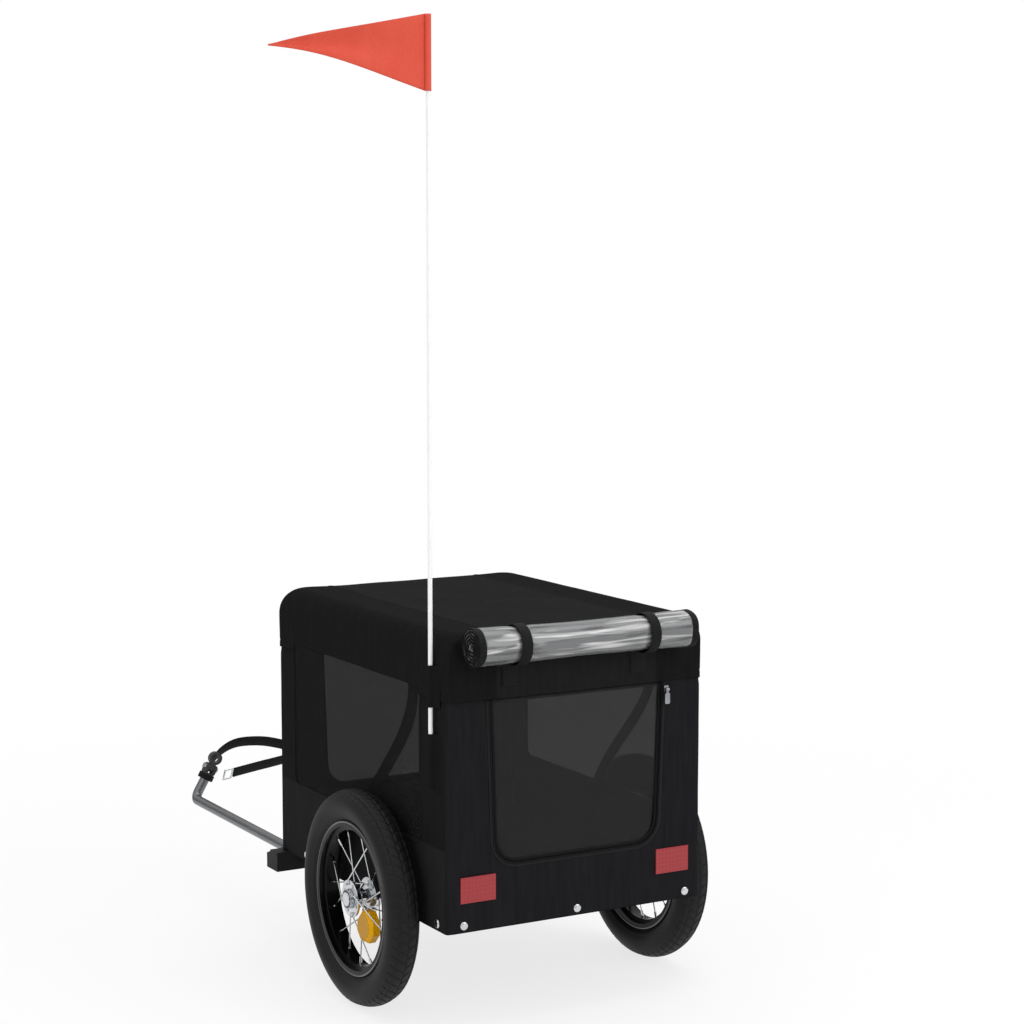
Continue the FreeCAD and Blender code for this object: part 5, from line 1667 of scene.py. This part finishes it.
    def notch(self, hem_points: Array, way: Array) -> Array:
        """How much the hem is raised at each of its points: over the windows, on the two sides only.

        Args:
            hem_points: The points of the hem.
            way: The direction outwards at each point.

        Returns:
            How far each point is raised.
        """
        cabin = self.cabin
        y = hem_points[:, 1]
        over = ramp(y, cabin.window_rear - self.notch_before, cabin.window_rear + self.notch_after)
        over = over - ramp(y, cabin.window_front - self.notch_after, cabin.window_front + self.notch_before)
        return cabin.window_rise * over * (np.abs(way[:, 0]) > 0.999)

    def seam(self, side: Side) -> Surface:
        """A flat felled seam over the roof, from one end's round edge to the other's.

        Formula: a low strap section carried along Y on the roof's face.

        Args:
            side: which seam.

        Returns:
            The seam.
        """
        reach = self.cabin.half_length + self.cabin.lap - self.seam_end
        line = self.cabin.roof_line(side.value * ROOF_STRIP_HALF, np.linspace(-reach, reach, 180))
        line[:, 2] += self.felled.out
        return sweep(self.roll.press(line), self.felled.section(), SIDEWAYS)


@dataclass
class SideWall:
    """A side panel with its window, the mesh in it, the bound edge round it and the brace behind it."""

    cabin: Cabin
    side: Side
    window_bottom: float = TUB_TOP
    window_corner: float = 0.012
    window_lap: float = 0.0005
    panel_lap: float = 0.003
    panel_rings: int = 22
    panel_seed: int = 11
    fold: Strip = Strip(0.006, 0.0007, 0.0001)
    net_lap: float = 0.006
    net_rise: float = 0.004
    net_depth: float = 0.0006
    net_slack: float = 0.0028
    net_ripple: Ripple = Ripple(0.12, 0.0006, 21)
    brace_points: tuple[tuple[float, float], ...] = (
        (0.030, 0.190), (-0.015, 0.325), (-0.194, 0.388), (-0.150, 0.496)
    )
    brace_width: float = 0.016
    brace_thickness: float = 0.0015
    brace_depth: float = 0.0045
    left_twist: float = 55.0
    right_twist: float = -15.0

    def build(self) -> None:
        """Makes the panel, the window's edge, the mesh and the brace."""
        name = self.side.name.lower()
        cabin = self.cabin
        panel = add_piece(
            f"{name}_panel_cloth", self.panel(), SIDE_CLOTH,
            Place("cabin", "cover_cloth", (f"{name}_panel",)), cabin.cloth, CLOTH_BACK,
        )
        add_piece(f"{name}_window_edge", self.window_edge(), SIDE_CLOTH, Place("cabin", "cover_cloth"))
        window = Place("cabin", "mesh", ("window_meshes",))
        net = add_piece(f"{name}_window_net", self.net(), WINDOW_MESH, window, cabin.mesh)
        brace = Place("cabin", "webbing", ("side_braces",))
        add_piece(f"{name}_brace_webbing", self.brace(), WEBBING, brace)

    def opening(self, grow: float = 0.0) -> Array:
        """The window's outline from its top front corner down and round to its top rear corner.

        Args:
            grow: How far the outline is moved outwards.

        Returns:
            Places along Y and heights, as rows.
        """
        cabin = self.cabin
        top = cabin.skirt_bottom + cabin.window_rise + self.window_lap
        corners = [
            (cabin.window_front + grow, top),
            (cabin.window_front + grow, self.window_bottom - grow),
            (cabin.window_rear - grow, self.window_bottom - grow),
            (cabin.window_rear - grow, top),
        ]
        return rounded_line(corners, self.window_corner + grow)

    def panel(self) -> Surface:
        """The panel round the window, between the cabin's corner seams.

        Returns:
            The panel's surface.
        """
        cabin = self.cabin
        half = cabin.half_length - cabin.corner_radius
        top = cabin.skirt_bottom + cabin.window_rise + self.panel_lap
        wall = partial(cabin.side_wall, self.side)
        seed = self.panel_seed + self.side.value
        return cabin.panel(wall, self.opening(), half, top, self.panel_rings, seed)

    def window_edge(self) -> Surface:
        """A folded edge sewn round the window: a low flat section on the outline, under the skirt's hem.

        Returns:
            The edge's surface.
        """
        line = spaced(self.opening(self.fold.width / 2), self.cabin.step)
        out = self.fold.out - self.cabin.tucked(line[:, 1])
        path = self.cabin.side_wall(self.side, line[:, 0], line[:, 1], out)
        across = np.cross(np.gradient(path, axis=0), SIDEWAYS)
        return sweep(path, self.fold.section(), across)

    def net(self) -> Surface:
        """The mesh behind the opening: a flat grid that sags in a little at its middle.

        Returns:
            The net's surface.
        """
        cabin = self.cabin
        y = np.linspace(cabin.window_rear - self.net_lap, cabin.window_front + self.net_lap, 70)
        top = cabin.skirt_bottom + cabin.window_rise + self.net_rise
        z = np.linspace(self.window_bottom - self.net_lap, top, 36)
        along, up = np.meshgrid(y, z, indexing="ij")
        share_y = (along - y[0]) / (y[-1] - y[0])
        share_z = (up - z[0]) / (z[-1] - z[0])
        slack = np.sin(math.pi * share_y) * np.sin(math.pi * share_z)
        out = -self.net_depth - slack * (self.net_slack + self.net_ripple.at(along, up))
        return outward(grid_surface(cabin.side_wall(self.side, along, up, out)), cabin.centre())

    def brace(self) -> Surface:
        """The webbing brace behind the mesh.

        Formula: a cubic Bezier curve along the wall from foot to head. The strap's width is square to it and
        lies along the wall at both ends. Between them it twists, most at the middle, and its line moves in
        with the twist. Each side's brace has a twist of its own.

        Returns:
            The brace.
        """
        share = np.linspace(0.0, 1.0, 40)
        weights = [math.comb(3, place) * share ** place * (1 - share) ** (3 - place) for place in range(4)]
        line = np.stack(weights, -1) @ np.array(self.brace_points)
        most = self.left_twist if self.side is Side.LEFT else self.right_twist
        twist = math.radians(most) * np.sin(math.pi * share)
        out = -self.brace_depth - self.brace_width / 2 * np.abs(np.sin(twist))
        path = self.cabin.side_wall(self.side, line[:, 0], line[:, 1], out)
        inward = np.array([-float(self.side.value), 0.0, 0.0])
        forward = unit(np.cross(np.gradient(path, axis=0), SIDEWAYS))
        forward = forward * np.sign(forward[:, 1:2])
        across = inward * np.sin(twist)[:, None] - forward * np.cos(twist)[:, None]
        return sweep(path, strap_section(self.brace_width, self.brace_thickness), across)


@dataclass
class EndWall:
    """An end panel with its door: the mesh, the bound edge, and the zip's tape and coil round it."""

    cabin: Cabin
    end: End
    top_half: float = 0.135
    bottom_half: float = 0.127
    door_bottom: float = 0.226
    door_corner: float = 0.035
    hinge_drop: float = 0.0015
    panel_lap: float = 0.006
    panel_rings: int = 24
    panel_seed: int = 31
    edge_gap: float = 0.0008
    binding: Strip = Strip(0.004, 0.0022, -0.001)
    tape: Strip = Strip(0.006, 0.001, 0.0005)
    lining: Strip = Strip(0.012, 0.0006, -0.0034)
    coil_pitch: float = 0.0016
    coil_radius: float = 0.0011
    coil_sides: int = 8
    coil_swell: float = 0.3
    coil_gap: float = 0.0016
    coil_out: float = 0.001
    net_depth: float = 0.0016
    net_slack: float = 0.003
    net_ripple: Ripple = Ripple(0.1, 0.0008, 41)
    fold_place: float = 0.075
    fold_spread: float = 0.05
    fold_half: float = 0.012
    fold_depth: float = 0.003

    def build(self) -> None:
        """Makes the panel, the door and the zip."""
        name = self.end.name.lower()
        cabin = self.cabin
        panel = add_piece(
            f"{name}_panel_cloth", self.panel(), COVER_CLOTH,
            Place("cabin", "cover_cloth", (f"{name}_panel",)), cabin.cloth, CLOTH_BACK,
        )
        door = Place(f"{name}_door", "mesh", (f"{name}_door_mesh",))
        net = add_piece(f"{name}_door_net", self.net(), DOOR_MESH, door, cabin.mesh)
        edge = self.ribbon(self.edge_gap + self.binding.width / 2, self.binding)
        bound = Place(f"{name}_door", "webbing", (f"{name}_door_binding",))
        # the door's edge is near-black: black tape with the gap's shadow painted in
        add_piece(f"{name}_door_edge", edge, DOOR_TAPE_GAP_SHADE, bound)
        tape = self.ribbon(-self.tape.width / 2, self.tape)
        add_piece(f"{name}_zip_tape", tape, ZIP_TAPE, Place("cabin", "webbing", ("zip_tapes",)))
        # the coil's near-black is black nylon with the zip gap's shadow painted in
        add_piece(f"{name}_zip_coil", self.coil(), ZIP_NYLON_GAP_SHADE, Place("cabin", "webbing"))
        add_piece(f"{name}_zip_guard", self.guard(), COVER_CLOTH, Place("cabin", "cover_cloth"))

    def outline(self, inset: float, top: float) -> Array:
        """The door's outline less an inset, from its top right corner down and round to its top left."""
        corners = [
            (self.top_half - inset, top),
            (self.bottom_half - inset, self.door_bottom + inset),
            (inset - self.bottom_half, self.door_bottom + inset),
            (inset - self.top_half, top),
        ]
        return rounded_line(corners, self.door_corner - inset)

    def panel(self) -> Surface:
        """The panel round the door, bent round both corners of the cabin.

        Returns:
            The panel's surface.
        """
        cabin = self.cabin
        half = cabin.half_width - cabin.corner_radius + cabin.corner_radius * math.pi / 2
        wall = partial(cabin.end_wall, self.end)
        line = self.outline(0.0, cabin.skirt_bottom)
        seed = self.panel_seed + self.end.value
        return cabin.panel(wall, line, half, cabin.skirt_bottom + self.panel_lap, self.panel_rings, seed)

    def on_wall(self, line: Array, out: float) -> Array:
        """The points of a line on the wall, a distance out of its face."""
        return self.cabin.end_wall(self.end, line[:, 0], line[:, 1], np.full(len(line), out))

    def net(self) -> Surface:
        """The door's mesh.

        Formula: rows up the door, each as wide as the tapering door less the round corner's share at that
        height, with a slack that is most at its middle and two faint folds to the lower corners.

        Returns:
            The mesh.
        """
        inset = self.edge_gap + self.binding.width / 2
        low, top = self.door_bottom + inset, self.cabin.skirt_bottom - self.hinge_drop
        corner = self.door_corner - inset
        bend = np.linspace(0.1, math.pi / 2, 16)
        rise = np.concatenate([corner * (1 - np.cos(bend)), np.linspace(corner, top - low, 30)[1:]])
        taper = (self.top_half - self.bottom_half) / (self.cabin.skirt_bottom - self.door_bottom)
        drop = np.maximum(corner - rise, 0.0)
        half = self.bottom_half - inset + taper * rise - (corner - np.sqrt(corner ** 2 - drop ** 2))
        share = np.linspace(-1.0, 1.0, 61)
        along = share[:, None] * half
        up = low + rise + 0 * along
        height = (up - low) / (top - low)
        slack = np.cos(math.pi / 2 * share)[:, None] * np.sin(math.pi * np.clip(height, 0, 1))
        spread = np.abs(along) - self.fold_place - self.fold_spread * (1 - height)
        foot = (1 - height) ** 2 * np.sin(math.pi * np.clip(2 * height, 0, 1))
        fold = hump(spread, 0.0, self.fold_half) * foot
        sag = slack * (self.net_slack + self.net_ripple.at(along, up))
        out = -self.net_depth - sag - self.fold_depth * fold
        points = self.cabin.end_wall(self.end, along, up, out)
        return outward(grid_surface(points), self.cabin.centre())

    def ribbon(self, inset: float, strip: Strip) -> Surface:
        """A flat strip round the door's sides and foot.

        Args:
            inset: how far its middle lies inside the door's outline.
            strip: its sizes.

        Returns:
            The strip.
        """
        line = spaced(self.outline(inset, self.cabin.skirt_bottom - self.hinge_drop), self.cabin.step)
        path = self.on_wall(line, strip.out)
        return sweep(path, strip.section(), np.cross(np.gradient(path, axis=0), FORWARDS))

    def guard(self) -> Surface:
        """A strip of cloth sewn inside, all round the door, that keeps light and rain out of the gap.

        Formula: a flat section carried round the door's outline and back along its hinge.

        Returns:
            The strip.
        """
        sides = self.outline(0.0, self.cabin.skirt_bottom)
        line = spaced(np.concatenate([sides, sides[:1]]), self.cabin.step)[:-1]
        path = self.on_wall(line, self.lining.out)
        across = np.cross(np.roll(path, -1, 0) - np.roll(path, 1, 0), FORWARDS)
        return sweep(path, self.lining.section(), across, closed=True)

    def coil(self) -> Surface:
        """The zip's nylon coil: a round section along the door's outline that swells once a tooth.

        Returns:
            The coil's surface.
        """
        sides = self.outline(-self.coil_gap, self.cabin.skirt_bottom - self.hinge_drop)
        path = self.on_wall(spaced(sides, self.coil_pitch / 4), self.coil_out)
        surface = sweep(path, round_section(self.coil_radius, self.coil_sides), FORWARDS)
        middle = np.repeat(path, self.coil_sides, axis=0)
        along = np.repeat(run_lengths(path), self.coil_sides)
        teeth = 1 + self.coil_swell * np.sin(along * 2 * math.pi / self.coil_pitch)
        surface.points = middle + (surface.points - middle) * teeth[:, None]
        return surface


# Flag

@dataclass
class Flag:
    """The pennant on its pole, and the two cloth sleeves that hold the pole on the cabin."""

    cabin: Cabin
    pole_x: float = -0.207
    pole_y: float = -0.235
    sleeve_low: float = 0.4415
    sleeve_high: float = 0.4975
    sleeve_base: float = 0.0012
    pocket_low: float = 0.328
    pocket_high: float = 0.406
    pocket_base: float = 0.0002
    pocket_foot: float = 0.005
    fine_foot: float = 0.006
    sleeve_cloth: float = 0.0008
    sleeve_rise: float = 0.0108
    sleeve_half: float = 0.009
    sleeve_ripple: Ripple = Ripple(0.02, 0.00015, 61)
    flange: float = 0.006
    hoist_low: float = 1.2402
    hoist_high: float = 1.3372
    length: float = 0.203
    tip_rise: float = 0.0549
    tip_height: float = 0.001
    turn: float = 23.0
    hoist_radius: float = 0.0042
    hem: float = 0.011
    pennant_cloth: float = 0.0006
    top_waves: tuple[float, float] = (0.0024, -0.001)
    low_waves: tuple[float, float] = (0.0079, -0.0018)
    wave_height: float = 0.006
    wave_turns: float = 1.2
    wave_lean: float = 0.8
    belly: float = 0.003
    stitch_half: float = 0.0008
    stitch_depth: float = 0.0004

    def build(self) -> None:
        """Makes the sleeves and the pennant."""
        sleeves = [
            self.sleeve(self.sleeve_low, self.sleeve_high, self.sleeve_base, False),
            self.sleeve(self.pocket_low, self.pocket_high, self.pocket_base, True),
        ]
        add_piece(
            "pole_sleeve_cloth", join_surfaces(sleeves), SIDE_CLOTH,
            Place("cabin", "cover_cloth", ("pole_sleeves",)), self.sleeve_cloth,
        )
        flown = Place("flag", "pennant_cloth", ("pennant",))
        pennant = add_piece("pennant_cloth", self.pennant(), PENNANT_CLOTH, flown, self.pennant_cloth)

    def sleeve(self, low: float, high: float, base: float, closed_foot: bool) -> Surface:
        """A cloth tunnel over the pole.

        Formula: the distance out of the wall is half a cosine hump across Y, high enough for the pole, and a
        pocket's hump falls to nothing at its foot.

        Args:
            low: its lower end.
            high: its upper end.
            base: how far its flanges lie out of the side panel's face.
            closed_foot: whether it is sewn shut below the pole.

        Returns:
            The surface.
        """
        reach = self.sleeve_half + self.flange
        y = np.linspace(-reach, reach, 49)
        fine = low + self.fine_foot
        z = np.concatenate([np.linspace(low, fine, 8), np.linspace(fine, high, 24)[1:]])
        across, up = np.meshgrid(y, z, indexing="ij")
        bell = (1 + np.cos(math.pi * np.clip(across / self.sleeve_half, -1.0, 1.0))) / 2
        foot = ramp(up, low, low + self.pocket_foot) if closed_foot else 1.0
        out = base + bell * (self.sleeve_rise * foot + self.sleeve_ripple.at(across, up))
        points = self.cabin.side_wall(Side.LEFT, self.pole_y + across, up, out)
        return outward(grid_surface(points), self.cabin.centre())

    def pennant(self) -> Surface:
        """The pennant with the hem that runs round the pole.

        Formula: the hem is a circle round the pole. From it the cloth runs out to the tip. Its edges are
        straight lines with one and two sine waves added, as the cloth hangs, and a wave across it grows
        outwards.

        Returns:
            The surface.
        """
        circle = np.linspace(0.0, 2 * math.pi, 33)
        out = np.linspace(self.hoist_radius, self.length, 110)[1:]
        along = np.concatenate([self.hoist_radius * np.cos(circle), out])
        aside = np.concatenate([self.hoist_radius * np.sin(circle), 0 * out])
        share = np.clip((along - self.hoist_radius) / (self.length - self.hoist_radius), 0.0, 1.0)
        fall = self.hoist_high - self.hoist_low - self.tip_rise - self.tip_height
        waves = np.stack([np.sin(math.pi * share), np.sin(2 * math.pi * share)], -1)
        top = self.hoist_high - fall * share + waves @ np.array(self.top_waves)
        low = self.hoist_low + self.tip_rise * share + waves @ np.array(self.low_waves)
        up = np.linspace(0.0, 1.0, 26)
        z = low[:, None] + (top - low)[:, None] * up
        outer = share[:, None]
        swing = np.sin(2 * math.pi * self.wave_turns * outer + self.wave_lean * up)
        wave = self.wave_height * swing * np.sqrt(outer)
        belly = self.belly * np.sin(math.pi * outer) * np.sin(2 * math.pi * up + 1.0)
        stitched = hump(along, self.hem, self.stitch_half) * (share > 0) * self.stitch_depth
        aside = aside[:, None] + wave + belly - stitched[:, None]
        turn = math.radians(180.0 - self.turn)
        x = self.pole_x + along[:, None] * math.cos(turn) - aside * math.sin(turn)
        y = self.pole_y + along[:, None] * math.sin(turn) + aside * math.cos(turn)
        return grid_surface(np.stack([x, y, z], -1))


# Wheels

@dataclass
class Wheel:
    """A spoked wheel: its tyre and its rim's rolled edges are new, and the rest get their finishes."""

    side: Side
    plane: float = 0.2325
    axle_y: float = float(AXLE[1] - CENTRE[1])
    axle_z: float = float(AXLE[2])
    radius: float = 0.150
    half_width: float = 0.023
    tread_half: float = 0.0165
    tread_drop: float = 0.005
    tread_start: float = 2.2
    tread_full: float = 1.4
    bulge: float = 1.345
    neck_half: float = 0.0136
    neck_radius: float = 0.1078
    bead_radius: float = 0.1025
    tread_count: int = 64
    tread_steps: int = 10
    groove: float = 0.0014
    groove_half: float = 0.0009
    groove_place: float = 0.012
    slant: float = 40.0
    cut_share: float = 0.12
    ridge_height: float = 0.0008
    ridge_rise: float = 0.006
    ridge_half: float = 0.0018
    lip_place: float = 0.0149
    lip_radius: float = 0.1060
    lip_size: float = 0.0019

    def build(self) -> None:
        """Makes the tyre and the rim's edges, and dresses the rest."""
        name = self.side.name.lower()
        tyre = Place(f"{name}_wheel", "tyre_rubber", (f"{name}_tyre",))
        add_piece(f"{name}_tyre_tread", self.tyre(), TYRE_RUBBER, tyre)
        add_piece(f"{name}_rim_lips", self.lips(), LIP_ENAMEL, Place(f"{name}_wheel", "rim_black"))
        dress_nodes(WHEEL_FINISHES, f"{name}_")

    def centre(self) -> Array:
        """The wheel's middle on its axle."""
        return np.array([self.side.value * self.plane, self.axle_y, self.axle_z])

    def lips(self) -> Surface:
        """The rim's two rolled edges: a round section carried round the axle at each.

        Returns:
            Both edges as one surface.
        """
        circles = [
            axle_circle(self.centre() + SIDEWAYS * place, self.lip_radius, 128)
            for place in (-self.lip_place, self.lip_place)
        ]
        section = round_section(self.lip_size)
        return join_surfaces([sweep(circle, section, SIDEWAYS, closed=True) for circle in circles])

    def section(self) -> Array:
        """The tyre's section from its inner bead over the crown to its outer bead.

        Formula: each side wall is a quadratic Bezier curve from the neck to the tread's edge, drawn out to
        the side between them. The crown is a flat parabola, and the two beads close the section.

        Returns:
            Distance from the wheel's plane and radius of each point.
        """
        share = np.linspace(0.0, 1.0, 27)[:, None]
        neck = np.array([[self.neck_half, self.neck_radius]])
        wide = np.array([[self.bulge * self.half_width, self.radius - self.half_width]])
        edge = np.array([[self.tread_half, self.radius - self.tread_drop]])
        wall = (1 - share) ** 2 * neck + 2 * share * (1 - share) * wide + share ** 2 * edge
        x = np.linspace(self.tread_half, -self.tread_half, 27)[1:-1]
        crown = np.stack([x, self.radius - self.tread_drop * (x / self.tread_half) ** 2], -1)
        mirror = wall[::-1] * np.array([-1.0, 1.0])
        bead = np.array([[-self.neck_half, self.bead_radius], [self.neck_half, self.bead_radius]])
        return np.concatenate([wall, crown, mirror, bead])

    def tyre(self) -> Surface:
        """The tyre with its tread.

        Formula: the section turned about the axle. The crown is cut by a groove round its middle, one near
        each shoulder, and thin slanting cuts that leave the two sides by turns. A low ring stands on each
        side wall above the rim.

        Returns:
            The surface.
        """
        section = self.section()
        turns = self.tread_steps * self.tread_count
        turn = np.arange(turns) * 2 * math.pi / turns
        across, radius = section[:, 0], section[:, 1]
        tread_low = self.radius - self.tread_start * self.tread_drop
        tread = ramp(radius, tread_low, self.radius - self.tread_full * self.tread_drop)
        wide = np.abs(across)
        around = turn[:, None] * self.tread_count / (2 * math.pi)
        block = (around + 0.5 * (across < 0) + self.slant * wide) % 1.0
        rings = np.minimum(wide, np.abs(wide - self.groove_place)) < self.groove_half
        cut = np.where(block < self.cut_share, 1.0, 0.0) + rings
        depth = self.groove * tread * np.clip(cut, 0.0, 1.0)
        ring = hump(radius, self.neck_radius + self.ridge_rise, self.ridge_half)
        ridge = self.ridge_height * ring * np.sign(across)
        reach = radius - depth
        points = np.stack([
            self.side.value * (self.plane + across + ridge) + 0 * reach,
            self.axle_y + reach * np.cos(turn)[:, None],
            self.axle_z + reach * np.sin(turn)[:, None],
        ], -1)
        return outward(grid_surface(points, close_rows=True, close_columns=True), self.centre())


def main() -> None:
    """Builds the studio, the strap and each sub-assembly in order."""
    logging.basicConfig(level=logging.INFO, format="%(name)s %(message)s")
    Studio().build()
    SafetyStrap().build()
    cabin = Cabin.from_frame()
    roll = RainRoll(cabin)
    roll.build()
    Roof(cabin, roll).build()
    for side in Side:
        SideWall(cabin, side).build()
        Wheel(side).build()
    for end in End:
        EndWall(cabin, end).build()
    Flag(cabin).build()
    dress_nodes(NODE_FINISHES)


if __name__ == "__main__":
    main()
